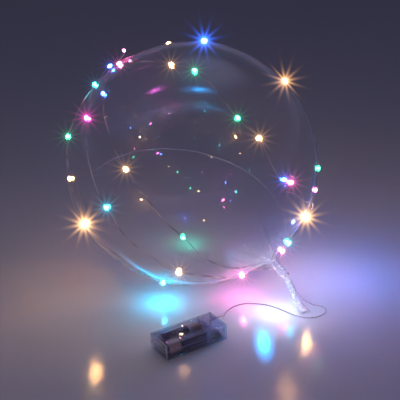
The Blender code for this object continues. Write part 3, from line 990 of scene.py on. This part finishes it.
# The tail: place from the pinch along X and Y, share of the pinch's height, half width, half thickness, lean
TAIL = (
    (0.0, 0.0, 0.92, 0.0026, 0.0024, 0.0), (0.0041, -0.0068, 0.53, 0.0031, 0.0023, 40.0),
    (0.0076, -0.0158, 0.24, 0.0034, 0.0025, 100.0), (0.0106, -0.0248, 0.075, 0.0042, 0.0026, 170.0),
    (0.0136, -0.0328, 0.026, 0.0060, 0.0015, 180.0), (0.0166, -0.0408, 0.0, 0.0075, 0.0009, 180.0),
)


@dataclass
class Balloon:
    """The film bubble with its gathered neck, its twisted tail and its weld."""

    radius: float = 0.140
    squash: float = 0.965
    flat_spot: float = 0.020
    neck_longitude: float = 54.0
    neck_latitude: float = -43.0
    gather_angle: float = 18.0
    neck_rise: float = 0.010
    neck_radius: float = 0.0042
    pinch_past: float = 0.0180
    sides: int = 216
    long_creases: int = 44
    deepest: float = 0.0013
    lobes: int = 17
    lobe_depth: float = 0.34
    seed: int = 11
    tail_floor: float = 0.0005
    tail_crease: float = 0.9
    loop_past: float = 0.0175
    loop_crease: float = 0.8
    weld_lean: Place = (-0.179, 0.230, -0.957)
    weld_offset: float = 0.0741
    weld_radius: float = 0.00026
    weld_crease: float = 0.75

    def __post_init__(self) -> None:
        """Works out the places that the sizes give, and draws the long creases."""
        flat = self.squash * (self.radius - math.sqrt(self.radius**2 - self.flat_spot**2))
        self.centre = np.array((0.0, 0.0, self.squash * self.radius - flat))
        self.scale = np.array((1.0, 1.0, self.squash))
        self.axis = direction(self.neck_longitude, self.neck_latitude)
        self.side, self.up = across(self.axis)
        self.neck_start = self.radius + self.neck_rise
        self.turn = turn = 2 * math.pi * np.arange(self.sides) / self.sides
        self.lobe_turn = self.lobes * turn + 0.7 * np.sin(3 * turn) + 0.5 * np.sin(5 * turn + 1.0)
        dice = np.random.default_rng(self.seed)
        # Place round the neck, reach in degrees, depth, width and bend of each
        self.folds = [
            (
                place + dice.uniform(-0.08, 0.08),
                self.gather_angle + 6 + 30 * dice.random() ** 2,
                dice.uniform(0.0004, self.deepest),
                dice.uniform(0.0010, 0.0024),
                dice.uniform(-0.5, 0.5),
            )
            for place in np.arange(self.long_creases) * 2 * math.pi / self.long_creases
        ]

    def on_neck(self, height: float, radius: Any, angle: Any) -> np.ndarray:
        """Finds points beside the neck's axis.

        Args:
            height: distance along the axis.
            radius: distance from the axis, or one for each point.
            angle: angle in radians from the axis's level side, or one for each point.

        Returns:
            The points, with the balloon's squash.
        """
        radius, angle = (np.asarray(given, float)[..., None] for given in (radius, angle))
        beside = radius * (np.cos(angle) * self.side + np.sin(angle) * self.up)
        return self.centre + self.scale * (height * self.axis + beside)

    def gather(self, samples: int) -> np.ndarray:
        """Draws the gather's profile, from the round film to the tied neck.

        Args:
            samples: how many stretches it has.

        Returns:
            Radius and height of each point, one to a row.
        """
        angle = math.radians(self.gather_angle)
        start = self.radius * np.array((math.sin(angle), math.cos(angle)))
        end = np.array((self.neck_radius, self.neck_start))
        reach = np.linalg.norm(end - start)
        leaving = start + 0.62 * reach * np.array((-math.cos(angle), math.sin(angle)))
        arriving = end - (0.0, 0.22 * reach)
        t = np.linspace(0.0, 1.0, samples + 1)[:, None]
        early, late = 3 * (1 - t) ** 2 * t, 3 * (1 - t) * t**2
        return (1 - t) ** 3 * start + early * leaving + late * arriving + t**3 * end

    def film_distance(self, towards: np.ndarray) -> np.ndarray:
        """Finds how far the film is from the centre before the squash.

        Args:
            towards: unit directions, one to a row.

        Returns:
            One distance for each.
        """
        profile = self.gather(24)
        angles = np.arctan2(profile[:, 0], profile[:, 1])[::-1]
        lengths = np.linalg.norm(profile, axis=1)[::-1]
        return np.interp(np.arccos(np.clip(towards @ self.axis, -1.0, 1.0)), angles, lengths)

    def creases(self, theta: float, radius: float) -> tuple[np.ndarray, np.ndarray]:
        """Finds how deep the creases are on one ring of the film.

        Args:
            theta: the ring's angle from the neck's axis, in degrees.
            radius: the ring's radius.

        Returns:
            Depth in metres, and how creased the film is from 0 to 1, at each of the ring's points.
        """
        depth, creased = np.zeros(self.sides), np.zeros(self.sides)
        for place, reach, deep, wide, bend in self.folds:
            if theta > reach:
                continue
            fade = (reach - theta) / (reach - 0.6 * self.gather_angle)
            off = (self.turn - place - bend * (1 - fade) + math.pi) % (2 * math.pi) - math.pi
            line = np.exp(-((off * radius / wide) ** 2))
            depth += deep * fade**1.5 * line
            creased = np.maximum(creased, min(1.0, fade) * line * deep / self.deepest)
        return depth, np.clip(creased, 0.0, 1.0)

    def shell(self) -> tuple[list[np.ndarray], list[np.ndarray]]:
        """Draws the rings of the film and its gather, with how creased each point is."""
        rings, creased = [], []
        far = np.linspace(180.0, 54.0, 46)[1:]
        near = np.linspace(54.0, self.gather_angle, 56)[1:]
        for theta in np.concatenate((far, near)):
            height = self.radius * math.cos(math.radians(theta))
            radius = self.radius * math.sin(math.radians(theta))
            deep, white = self.creases(theta, radius)
            rings.append(self.on_neck(height, radius - deep, self.turn))
            creased.append(white * 0.8)
        profile = self.gather(30)[1:]
        folds = swell(self.lobe_turn)
        for step, (radius, height) in enumerate(profile, 1):
            gone = step / len(profile)
            deep, white = self.creases(self.gather_angle * (1 - gone), radius)
            shrink = 1 - self.lobe_depth * gone**1.4 * folds
            rings.append(self.on_neck(height, (radius - deep * (1 - gone)) * shrink, self.turn))
            creased.append(np.clip(white * (1 - gone) + gone * (0.35 + 0.65 * folds), 0.0, 1.0))
        return rings, creased

    def neck_and_tail(self) -> list[np.ndarray]:
        """Draws the rings of the tied neck and of the twisted tail down to the floor."""
        turn, rings = self.turn, []
        for past, share in smooth_curve(TIE, 5, 0.0)[1:]:
            radius = share * self.neck_radius * (1 - self.lobe_depth * swell(self.lobe_turn + 60 * past))
            rings.append(self.on_neck(self.neck_start + past, radius, turn))
        pinch = self.on_neck(self.neck_start + self.pinch_past, 0.0, 0.0)
        places = [self.on_neck(self.neck_start + TIE[-1][0], 0.0, 0.0)]
        for x, y, share, _, thick, _ in TAIL:
            places.append((pinch[0] + x, pinch[1] + y, self.tail_floor + thick + share * pinch[2]))
        track = smooth_curve(places, 9)[6:]
        shape = smooth_curve([(0.0034, 0.0032, 0.0)] + [section[3:] for section in TAIL], 9, 0.0)[6:]
        ways = unit(np.gradient(track, axis=0))
        for k, (place, (wide, thick, lean), way) in enumerate(zip(track, shape, ways)):
            side, up = across(way)
            gone = k / (len(track) - 1)
            off = turn - math.radians(lean)
            oval = wide * thick / np.hypot(thick * np.cos(off), wide * np.sin(off))
            folds = swell(7 * off + 9.0 * gone + 0.8 * np.sin(2 * turn + 5 * gone))
            fine = swell(19 * turn + 14 * gone)
            radii = oval * (1.10 - 0.42 * (1 - 0.6 * gone) * folds - 0.10 * fine)
            torn = 0.0011 * np.sin(5 * turn + 1.3) + 0.0008 * np.sin(13 * turn)
            ragged = torn * max(0.0, gone - 0.86) / 0.14
            level = np.cos(turn)[:, None] * side + np.sin(turn)[:, None] * up
            rings.append(place + radii[:, None] * level + ragged[:, None] * way)
        return rings

    def loop(self) -> Mesh:
        """Draws the small loop of film that stands out beside the tail."""
        pinch = self.on_neck(self.neck_start + self.loop_past, 0.0, 0.0)
        out, up = np.array((0.62, 0.30, 0.72)), np.array((0.35, -0.60, 0.20))
        flat = unit(np.cross(out, up))
        corners = ((0.00012, 0.0011), (-0.00012, 0.0011), (-0.00012, -0.0011), (0.00012, -0.0011))
        points, faces, count = [], [], 32
        for k, a in enumerate(np.arange(count) * 2 * math.pi / count):
            place = pinch + 0.0028 * out + 0.0026 * math.cos(a) * out + 0.0019 * math.sin(a) * up
            away = unit(math.cos(a) * out + math.sin(a) * up)
            points += [place + t * away + w * (1 + 0.3 * math.sin(3 * a)) * flat for t, w in corners]
            faces += band(4 * k, 4 * ((k + 1) % count), 4)
        mesh = drawn("film loop", points, faces=faces)
        outward(mesh)
        mesh.shade_smooth()
        keep_number(mesh, "crease", self.loop_crease)
        return mesh

    def weld(self, finish: Material) -> Mesh:
        """Draws the raised line where the film's two panels are welded, a flat cut through the bubble.

        Args:
            finish: the film's material.

        Returns:
            The mesh.
        """
        lean = unit(self.weld_lean)
        one = unit(np.cross(lean, (0.0, 1.0, 0.0)))
        two = np.cross(lean, one)
        ring = math.sqrt(self.radius**2 - self.weld_offset**2)
        angles = np.linspace(0.0, 2 * math.pi, 241)[:-1, None]
        towards = unit(self.weld_offset * lean + ring * (np.cos(angles) * one + np.sin(angles) * two))
        points = self.centre + self.scale * towards * self.film_distance(towards)[:, None]
        points[:, 2] = np.maximum(points[:, 2], self.weld_radius)
        line = drawn_line("weld line", points, closed=True)
        mesh = ridge_tree().grow(line, finish, radius=self.weld_radius)
        keep_number(mesh, "crease", self.weld_crease)
        return mesh

    def build(self) -> None:
        """Makes the film and its weld."""
        finish = FilmFinish().make()
        rings, creased = self.shell()
        tail = self.neck_and_tail()
        every = np.array(rings + tail)
        every[:, :, 2] = np.maximum(every[:, :, 2], 0.0)
        pole = self.centre - self.scale * self.radius * self.axis
        mesh = loft("balloon film", every, start=pole)
        on_tail = np.full(len(tail) * self.sides, self.tail_crease)
        keep_number(mesh, "crease", np.concatenate((*creased, on_tail, (0.0, self.tail_crease))))
        whole = joined("balloon film", [mesh, self.loop()])
        whole.shade_smooth()
        piece("balloon_film", whole, finish, ["balloon"])
        piece("film_weld", self.weld(finish), finish)


# The string of lights


@dataclass
class Lights:
    """The twisted wire round the balloon, and its lamps."""

    balloon: Balloon
    thickness: float = 0.0010
    pitch: float = 0.0085
    spacing: float = 0.0016
    start_past: float = 0.0044
    start_out: float = 0.0054
    start_angle: float = -15.0
    contact: float = 0.00012
    loose: float = 0.0016
    drop_long: float = 0.0060
    drop_radius: float = 0.00165
    drop_neck: float = 0.00062
    usual_level: float = 0.14
    # Lamps whose light is another than usual, with their level
    levels: tuple[tuple[int, float], ...] = (
        (1, 0.16), (2, 0.20), (3, 1.0), (4, 0.30), (5, 0.35), (6, 0.20), (8, 0.16), (9, 0.16),
        (11, 0.12), (12, 0.18), (13, 0.05), (14, 0.28), (15, 0.20), (16, 0.22), (17, 0.30), (20, 0.05),
        (21, 1.0), (22, 1.0), (23, 0.07), (24, 0.05), (26, 0.12), (27, 1.0), (28, 0.06),
    )

    def line(self, lamps: np.ndarray) -> np.ndarray:
        """Reads the wire's path from the model and lays it on the film.

        Args:
            lamps: the middles of the lamps, near which the wire stays as it is.

        Returns:
            The wire's points, one to a row.
        """
        where = self.balloon
        angle = math.radians(self.start_angle)
        near = where.on_neck(where.neck_start + self.start_past, self.start_out, angle)
        rough = middle_line("light_wire", near, self.thickness)
        points = evenly(smooth_curve(rough, 12), self.spacing)
        towards = (points - where.centre) / where.scale
        away = np.linalg.norm(towards, axis=1)
        towards = unit(towards)
        film = where.film_distance(towards)
        over = away - film
        gap = np.linalg.norm(points[:, None] - lamps[None], axis=2).min(axis=1)
        free = np.clip((gap - 0.004) / 0.006, 0.0, 1.0)
        laid = (over < self.loose) & (over > 0.0) & (film < where.radius + 0.001)
        lower = np.where(laid, free * (over - self.thickness / 2 - self.contact), 0.0)
        return where.centre + where.scale * towards * (away - lower)[:, None]

    def build(self) -> np.ndarray:
        """Makes the wire and the lamps, and returns the wire's points."""
        names = sorted(name for name in frame["nodes"] if name.startswith("bulb_"))
        middles = np.array([middle(name) for name in names])
        points = self.line(middles)
        copper = CopperFinish().make()
        base = drawn_line("wire line", points)
        mesh = pair_tree().grow(base, copper, strand=self.thickness / 4, pitch=self.pitch, sides=6)
        piece("light_wire_pair", mesh, copper, ["light_wire"])
        self.lamps(points, names, middles)
        return points

    def lamps(self, points: np.ndarray, names: Sequence[str], middles: np.ndarray) -> None:
        """Makes a drop of resin for each lamp, in line with the wire.

        Args:
            points: the wire's points.
            names: the lamps' names in the model.
            middles: their middles.
        """
        slots = {part["node"]: part["material_slot"] for part in frame["record"]["subparts"]}
        resins = {tint: ResinFinish(tint).make() for tint in Tint}
        tree = drop_tree()
        levels = dict(self.levels)
        for number, (name, place) in enumerate(zip(names, middles), 1):
            at = int(np.linalg.norm(points - place, axis=1).argmin())
            seed = drawn("lamp seed", [place])
            way = unit(points[min(at + 2, len(points) - 1)] - points[max(at - 2, 0)])
            seed.attributes.new("way", "FLOAT_VECTOR", "POINT").data[0].vector = way
            resin = resins[Tint[slots[name].split("_")[0].upper()]]
            mesh = tree.grow(seed, resin, long=self.drop_long, radius=self.drop_radius, neck=self.drop_neck)
            keep_number(mesh, "level", levels.get(number, self.usual_level))
            piece(name.replace("bulb", "lamp"), mesh, resin, [name])


@dataclass
class Box:
    """The clear battery box, with its cells, contacts and end parts."""

    corner: Place = (-0.0510, -0.1695, 0.0)
    turn: float = 30.7
    wall: float = 0.0014
    gap: float = 0.0003
    cell_radius: float = 0.0071
    cell_long: float = 0.0492
    side_space: float = 0.0018
    top_space: float = 0.0012
    spring_long: float = 0.0050
    spring_wire: float = 0.00035
    plate: float = 0.0005
    board_thick: float = 0.0012
    board_long: float = 0.0100
    board_end: float = 0.0024
    edge: float = 0.0010
    inner_edge: float = 0.0006
    lead_radius: float = 0.00055
    lead_inset: float = 0.0070
    lead_height: float = 0.0125
    hole_space: float = 0.0004
    ribs: int = 5

    def __post_init__(self) -> None:
        """Works out the box's outer sizes and its place."""
        self.width = 4 * self.cell_radius + self.side_space + 2 * self.wall
        self.height = 2 * self.cell_radius + self.top_space + 2 * self.wall
        self.lid_long = self.cell_long + self.spring_long + 2 * self.plate + 5 * self.gap + 2 * self.wall
        self.long = self.lid_long + self.gap + self.board_long + self.board_end + 2 * self.wall
        turn = Matrix.Rotation(math.radians(self.turn), 4, "Z")
        self.place = Matrix.Translation(self.corner) @ turn @ Matrix.Translation((0.0, -self.width, 0.0))

    def mark_rims(self, mesh: Mesh) -> None:
        """Keeps on each face of a shell whether it is a rounded edge or lies where the halves meet, as the
        mask of a painted highlight.

        Args:
            mesh: the shell.
        """
        joint = (self.height / 2, self.height / 2 + self.gap)
        found = []
        for face in mesh.polygons:
            slanted = max(abs(x) for x in face.normal) < 0.985
            between = abs(face.normal.z) > 0.9 and min(abs(face.center.z - z) for z in joint) < 1e-5
            # Painted highlight: full where the halves meet, 0.75 on the small faces of rounded edges
            found.append(1.0 if between else 0.75 if slanted and face.area < self.height * self.edge else 0.0)
        mesh.attributes.new("rim", "FLOAT", "FACE").data.foreach_set("value", found)

    def put(self, mesh: Mesh, local: Matrix | None = None) -> Mesh:
        """Moves a mesh from the box's own frame to its place, and returns it."""
        mesh.transform(self.place @ (local or Matrix.Identity(4)))
        return mesh

    def case(self, clear: Material) -> None:
        """Makes the lower half with its end compartment, its lead hole, its cradle ribs and its spine.

        Args:
            clear: the clear plastic.
        """
        centre, wall, width, height = self.width / 2, self.wall, self.width, self.height
        lid_end = self.lid_long + self.gap
        far, past = width - wall, height
        wide = self.lead_radius + self.hole_space
        hole = turned("lead hole", [(-0.003, wide), (0.003, wide)], 20)
        hole.transform(Matrix.Translation((self.long, width - self.lead_inset, self.lead_height)))
        room_top = (self.long - wall, far, height - wall)
        cutters = [
            block("lid space", (-past, -past, height / 2), (lid_end, width + past, 2 * past)),
            block("bay", (wall, wall, wall), (self.lid_long - wall, far, past), self.inner_edge),
            block("end room", (lid_end + wall, wall, wall), room_top, self.inner_edge),
            hole,
        ]
        shell = carved("case", block("case", (0, 0, 0), (self.long, width, height), self.edge), cutters)
        self.mark_rims(shell)
        bay = self.lid_long - 2 * wall
        cradle = rib_tree().grow(
            None, clear, count=self.ribs, first=(wall + 0.14 * bay, centre, wall + 0.00018),
            step=(0.18 * bay, 0.0, 0.0), size=(0.0008, far - wall - 0.0004, 0.0005),
        )
        spine = block(
            "spine", (wall + 0.1 * bay, centre - 0.0004, wall - 0.0001),
            (wall + 0.9 * bay, centre + 0.0004, wall + 0.0032), 0.0003,
        )
        piece("battery_case_shell", self.put(shell), clear, ["battery_case"])
        piece("battery_case_ribs", self.put(joined("ribs", [cradle, spine])), clear)

    def lid(self, clear: Material) -> None:
        """Makes the upper half over the cells.

        Args:
            clear: the clear plastic.
        """
        low, wall = self.height / 2 + self.gap, self.wall
        body = block("lid", (0, 0, low), (self.lid_long, self.width, self.height), self.edge)
        top = (self.lid_long - wall, self.width - wall, self.height - wall)
        shell = carved("lid", body, [block("lid inside", (wall, wall, low - wall), top, self.inner_edge)])
        self.mark_rims(shell)
        piece("battery_lid_shell", self.put(shell), clear, ["battery_lid"])

    def cells(self, metal: Material) -> None:
        """Makes the two cells, head to tail, and the coils at their flat ends.

        Args:
            metal: the nickel plate.
        """
        sleeve = SleeveFinish().make()
        start = self.wall + self.gap + self.plate + self.gap
        r, long, wire = self.cell_radius, self.cell_long, self.spring_wire
        profile = (
            (0.0, 0.0010), (0.0, 0.0024), (0.0003, 0.0027), (0.0011, 0.0027), (0.0012, 0.0031),
            (0.0012, 0.0052), (0.0014, 0.0056), (0.0014, r - 0.0008), (0.0017, r - 0.0002), (0.0023, r),
            (long - 0.0012, r), (long - 0.0005, r - 0.0003), (long - 0.0002, r - 0.0011),
            (long - 0.0005, r - 0.0018), (long - 0.0001, r - 0.0026), (long, 0.0030), (long, 0.0010),
        )
        coils = coil_tree()
        for number, (share, x, way) in enumerate(((0.25, start, 1), (0.75, self.lid_long - start, -1)), 1):
            row = self.wall + share * (4 * r + self.side_space)
            turn = Matrix.Identity(4) if way > 0 else Matrix.Rotation(math.pi, 4, "Z")
            place = Matrix.Translation((x, row, self.height / 2))
            cell = self.put(turned(f"cell {number}", profile, 48), place @ turn)
            piece(f"cell_body_{number}", cell, sleeve, [f"cell_{number}"])
            height = self.spring_long - 2 * wire - self.gap
            coil = coils.grow(None, metal, wire=wire, turns=3.5, start=0.0020, end=0.0044, height=height)
            foot = Matrix.Translation((x + way * (long + self.gap + wire), row, self.height / 2))
            coil = self.put(coil, foot @ Matrix.Rotation(way * math.pi / 2, 4, "Y"))
            piece(f"contact_coil_{number}", coil, metal, [f"cell_spring_{number}"])

    def end_parts(self, metal: Material) -> None:
        """Dresses the plates, board, switch and resistor, and adds the solder.

        Args:
            metal: the nickel plate.
        """
        finishes = {
            "circuit_board": PlainFinish("green board", (0.02, 0.11, 0.06), (0.05, 0.20, 0.11), 0.30),
            "switch_body": PlainFinish("black moulding", (0.015, 0.015, 0.018), (0.05, 0.05, 0.055), 0.35),
            "resistor": PlainFinish("tan lacquer", (0.55, 0.42, 0.26), (0.36, 0.20, 0.10), 0.30),
        }
        for node, finish in finishes.items():
            dress(frame["nodes"][node].data, finish.make())
        for node in ("bridge_plate", "minus_plate", "plus_plate"):
            dress(frame["nodes"][node].data, metal)
        start = self.lid_long + self.gap + self.wall + self.gap
        top = self.wall + self.gap + self.board_thick
        spots = ((0.0020, 0.0230), (0.0080, 0.0250), (0.0015, 0.0080), (0.0088, 0.0170), (0.0015, 0.0150))
        solder = []
        for x, y in spots:
            dome = turned("solder", [(0.0, 0.0007), (0.0003, 0.00055), (0.0006, 0.0002)], 12)
            dome.transform(Matrix.Translation((start + x, y, top)) @ Matrix.Rotation(-math.pi / 2, 4, "Y"))
            solder.append(dome)
        piece("board_solder", self.put(joined("solder", solder)), metal)

    def build(self) -> None:
        """Makes the whole box."""
        clear = ClearPlasticFinish().make()
        metal = PlainFinish("nickel plate", (0.66, 0.66, 0.68), (0.50, 0.49, 0.48), 0.20, 1.0).make()
        self.case(clear)
        self.lid(clear)
        self.cells(metal)
        self.end_parts(metal)


# The lead's route over the floor and up the tail
LEAD_ROUTE = (
    (0.0235, -0.1325, 0.0120), (0.0268, -0.1255, 0.0080), (0.0285, -0.1170, 0.0032),
    (0.0300, -0.1085, 0.0011), (0.0340, -0.1010, 0.0009), (0.0410, -0.0935, 0.0009),
    (0.0520, -0.0890, 0.0009), (0.0640, -0.0895, 0.0009), (0.0750, -0.0930, 0.0009),
    (0.0860, -0.1000, 0.0009), (0.0960, -0.1090, 0.0009), (0.1070, -0.1190, 0.0009),
    (0.1190, -0.1245, 0.0009), (0.1310, -0.1225, 0.0009), (0.1390, -0.1150, 0.0009),
    (0.1400, -0.1060, 0.0009), (0.1345, -0.1005, 0.0010), (0.1260, -0.0980, 0.0020),
    (0.1175, -0.0935, 0.0055), (0.1107, -0.0871, 0.0104), (0.1067, -0.0772, 0.0162),
    (0.1015, -0.0701, 0.0236), (0.0979, -0.0632, 0.0276),
)


@dataclass
class Lead:
    """The twisted lead from the box to the light wire."""

    box: Box
    inside: float = 0.0030
    step_out: float = 0.0025
    pitch: float = 0.0090
    spacing: float = 0.0014
    length: float = 0.25

    def build(self, wire: np.ndarray) -> None:
        """Makes the lead.

        Args:
            wire: the light wire's points, whose first one the lead meets.
        """
        box, radius = self.box, self.box.lead_radius
        row, height = box.width - box.lead_inset, box.lead_height
        steps = (-box.wall - self.inside, 0.0, self.step_out)
        start = [box.place @ Vector((box.long + step, row, height)) for step in steps]
        meeting = wire[0] - unit(wire[3] - wire[0]) * (box.gap + radius)
        route = [*(tuple(p) for p in start), *LEAD_ROUTE, meeting]
        points = evenly(smooth_curve(route, 12), self.spacing)
        lacquer = PlainFinish("lead lacquer", (0.42, 0.36, 0.34), (0.26, 0.21, 0.20), 0.30, 0.5).make()
        base = drawn_line("lead line", points)
        mesh = pair_tree().grow(base, lacquer, strand=radius / 2, pitch=self.pitch, sides=8)
        made = piece("lead_pair", mesh, lacquer, ["lead"])


# Studio


# Soft lights from above and from the front: name, place, side, watts and colour
SOFTBOXES = (
    ("top softbox", (0.02, -0.06, 0.64), 0.34, 0.24, (0.80, 0.72, 1.0)),
    ("front softbox", (-0.60, -1.60, 0.28), 0.5, 5.4, (0.86, 0.78, 1.0)),
)
# What the lowest lamps throw on the floor: name, place, watts and colour
POOLS = (
    ("cyan pool", (-0.0374, -0.0780, 0.0210), 0.055, (0.0, 0.62, 1.0)),
    ("white pool", (0.0850, -0.1080, 0.0290), 0.070, (0.72, 0.88, 1.0)),
    ("pink pool", (0.0507, -0.0760, 0.0250), 0.024, (1.0, 0.25, 0.75)),
    ("blue pool", (0.1750, -0.0450, 0.0800), 0.250, (0.0, 0.20, 1.0)),
    ("green pool", (-0.0070, 0.0580, 0.0160), 0.014, (0.0, 0.85, 0.50)),
)
# What only the film or the floor mirrors: name, place, length, width, whether it shines up, glow and colour
GLEAMS = (
    ("blue gleam", (-0.0150, 0.0150, 0.0100), 0.015, 0.010, True, 13.0, (0.0, 0.38, 1.0)),
    ("pink gleam", (0.0410, 0.0415, 0.0100), 0.008, 0.007, True, 16.0, (1.0, 0.14, 0.85)),
    ("floor gleam", (0.0704, -0.1365, 0.0200), 0.006, 0.020, False, 110.0, (0.0, 0.34, 1.0)),
    ("rim gleam", (-0.0620, -0.0690, 0.0100), 0.046, 0.008, True, 2.2, (0.0, 0.50, 1.0)),
)
# How many times as large each layer of a gleam is, and its share of the glow
GLEAM_LAYERS = ((1.0, 1.0), (1.7, 0.30), (2.6, 0.14), (3.8, 0.07))


def hung(
    name: str, kind: str, place: Sequence[float], turn: Sequence[float], unseen: str, **settings: Any
) -> None:
    """Hangs a light that the camera doesn't see.

    Args:
        name: its name.
        kind: AREA or POINT.
        place: where it hangs.
        turn: its rotation, as Euler angles.
        unseen: the other rays that don't see it, glossy or diffuse.
        settings: its properties.
    """
    data = bpy.data.lights.new(name, kind)
    for key, value in settings.items():
        setattr(data, key, value)
    made = held(name, data)
    made.location, made.rotation_euler = place, turn
    made.visible_camera = False
    setattr(made, f"visible_{unseen}", False)


def looking(forward: np.ndarray, lean: float) -> tuple[np.ndarray, np.ndarray]:
    """Finds the picture's right and up.

    Args:
        forward: unit direction in which the camera looks.
        lean: its roll, in radians.

    Returns:
        The right and the up, as unit directions.
    """
    right = unit(np.cross(forward, (0.0, 0.0, 1.0)))
    up = np.cross(right, forward)
    cos, sin = math.cos(lean), math.sin(lean)
    return cos * right + sin * up, cos * up - sin * right


@dataclass(frozen=True)
class Studio:
    """The floor, the lights, the camera and the lens glare."""

    balloon: Balloon
    image: float = 400.0
    elevation: float = 24.5
    roll: float = -2.2
    distance: float = 11.0
    outline: float = 125.3
    middle: tuple[float, float] = (191.6, 162.0)
    sensor: float = 36.0
    floor_size: float = 9.0
    floor_drop: float = 0.0002
    pool_radius: float = 0.004
    layer_rise: float = 0.0002
    room_colour: Colour = (0.56, 0.55, 1.0)
    room_light: float = 0.02
    horizon_light: float = 0.12
    patch_way: Place = (0.20, 0.565, 0.80)
    patch_light: float = 0.5
    clear_layers: int = 32
    brightest_bounce: float = 200.0

    def camera(self) -> None:
        """Looks at the balloon as the photograph does."""
        radius = self.balloon.radius
        rise, lean = math.radians(self.elevation), math.radians(self.roll)
        centre = np.array((0.0, 0.0, self.balloon.squash * radius))
        away = self.distance * radius
        pixels = self.outline * math.sqrt(self.distance**2 - 1)
        place = centre + away * np.array((0.0, -math.cos(rise), math.sin(rise)))
        right, up = looking((centre - place) / away, lean)
        shift = away / pixels
        target = centre + (self.image / 2 - self.middle[0]) * shift * right
        target = target - (self.image / 2 - self.middle[1]) * shift * up
        forward = unit(target - place)
        right, up = looking(forward, lean)
        data = bpy.data.cameras.new("view")
        data.sensor_width = self.sensor
        data.lens = pixels * self.sensor / self.image
        made = held("view", data)
        made.matrix_world = Matrix.Translation(place) @ Matrix((right, up, -forward)).transposed().to_4x4()
        bpy.context.scene.camera = made

    def lights(self) -> None:
        """Hangs the soft lights, the lowest lamps' light on the floor, and what film and floor mirror."""
        for name, place, size, power, tint in SOFTBOXES:
            turn = (Vector(self.balloon.centre) - Vector(place)).to_track_quat("-Z", "Y").to_euler()
            hung(name, "AREA", place, turn, "glossy", size=size, energy=power, color=tint)
        level = (0.0, 0.0, 0.0)
        for name, place, power, tint in POOLS:
            hung(
                name, "POINT", place, level, "glossy",
                energy=power, color=tint, shadow_soft_size=self.pool_radius,
            )
        for name, (x, y, z), long, wide, upwards, glow, tint in GLEAMS:
            turn = (math.pi, 0.0, 0.0) if upwards else level
            for layer, (grown, share) in enumerate(GLEAM_LAYERS):
                size, size_y = grown * long, grown * wide
                hung(
                    name, "AREA", (x, y, z + self.layer_rise * layer), turn, "diffuse",
                    shape="ELLIPSE", size=size, size_y=size_y, color=tint,
                    energy=share * glow * math.pi * math.pi / 4 * size * size_y,
                )

    def surroundings(self) -> None:
        """Sets a dim room that is brighter towards its horizon, so that the film's edge shows."""
        net = Net("studio", world=True)
        parts = net.node("SeparateXYZ", None, {0: net.place})
        height, back = Number(net, parts.outputs[2]), Number(net, parts.outputs[1])
        horizon = (1 - height.over(0.04, 0.30)) * (0.6 + 0.4 * back.over(-0.6, 0.8))
        towards = net.node("VectorMath", {"operation": "DOT_PRODUCT"}, {0: net.place, 1: self.patch_way})
        patch = Number(net, towards.outputs["Value"]).over(0.90, 1.0)
        strength = self.room_light + self.horizon_light * horizon + self.patch_light * patch
        room = net.node("Background", None, {"Color": self.room_colour, "Strength": strength})
        bpy.context.scene.world = net.done(room)

    def floor(self) -> None:
        """Lays the floor."""
        half = self.floor_size / 2
        corners = [(x * half, y * half, -self.floor_drop) for x, y in ((-1, -1), (1, -1), (1, 1), (-1, 1))]
        mesh = drawn("floor", corners, faces=[(0, 1, 2, 3)])
        dress(mesh, FloorFinish().make())
        held("floor", mesh)

    def glare(self) -> None:
        """Adds the lens's stars and glow round what is very bright."""
        scene = bpy.context.scene
        scene.use_nodes = True
        tree = scene.node_tree
        tree.nodes.clear()
        seen = tree.nodes.new("CompositorNodeRLayers").outputs["Image"]
        for kind, values in (
            ("STREAKS", {"Threshold": 60.0, "Strength": 0.05, "Streaks": 12, "Streaks Angle": 0.2,
                         "Iterations": 3, "Fade": 0.79, "Color Modulation": 0.05}),
            ("BLOOM", {"Threshold": 2.0, "Strength": 0.03, "Size": 0.30}),
        ):
            glare = tree.nodes.new("CompositorNodeGlare")
            glare.glare_type, glare.quality = kind, "HIGH"
            for name, value in values.items():
                glare.inputs[name].default_value = value
            tree.links.new(seen, glare.inputs["Image"])
            seen = glare.outputs["Image"]
        tree.links.new(seen, tree.nodes.new("CompositorNodeComposite").inputs["Image"])

    def build(self) -> None:
        """Sets up the studio."""
        self.lights()
        self.surroundings()
        self.floor()
        self.glare()
        scene = bpy.context.scene
        scene.cycles.transparent_max_bounces = self.clear_layers
        scene.cycles.sample_clamp_indirect = self.brightest_bounce
        scene.view_settings.view_transform = "Standard"


def main() -> None:
    """Builds the object and its studio."""
    logging.basicConfig(level=logging.INFO, format="%(name)s: %(message)s")
    balloon = Balloon()
    studio = Studio(balloon)
    studio.camera()
    box = Box()
    wire = Lights(balloon).build()
    Lead(box).build(wire)
    balloon.build()
    box.build()
    studio.build()


if __name__ == "__main__":
    main()
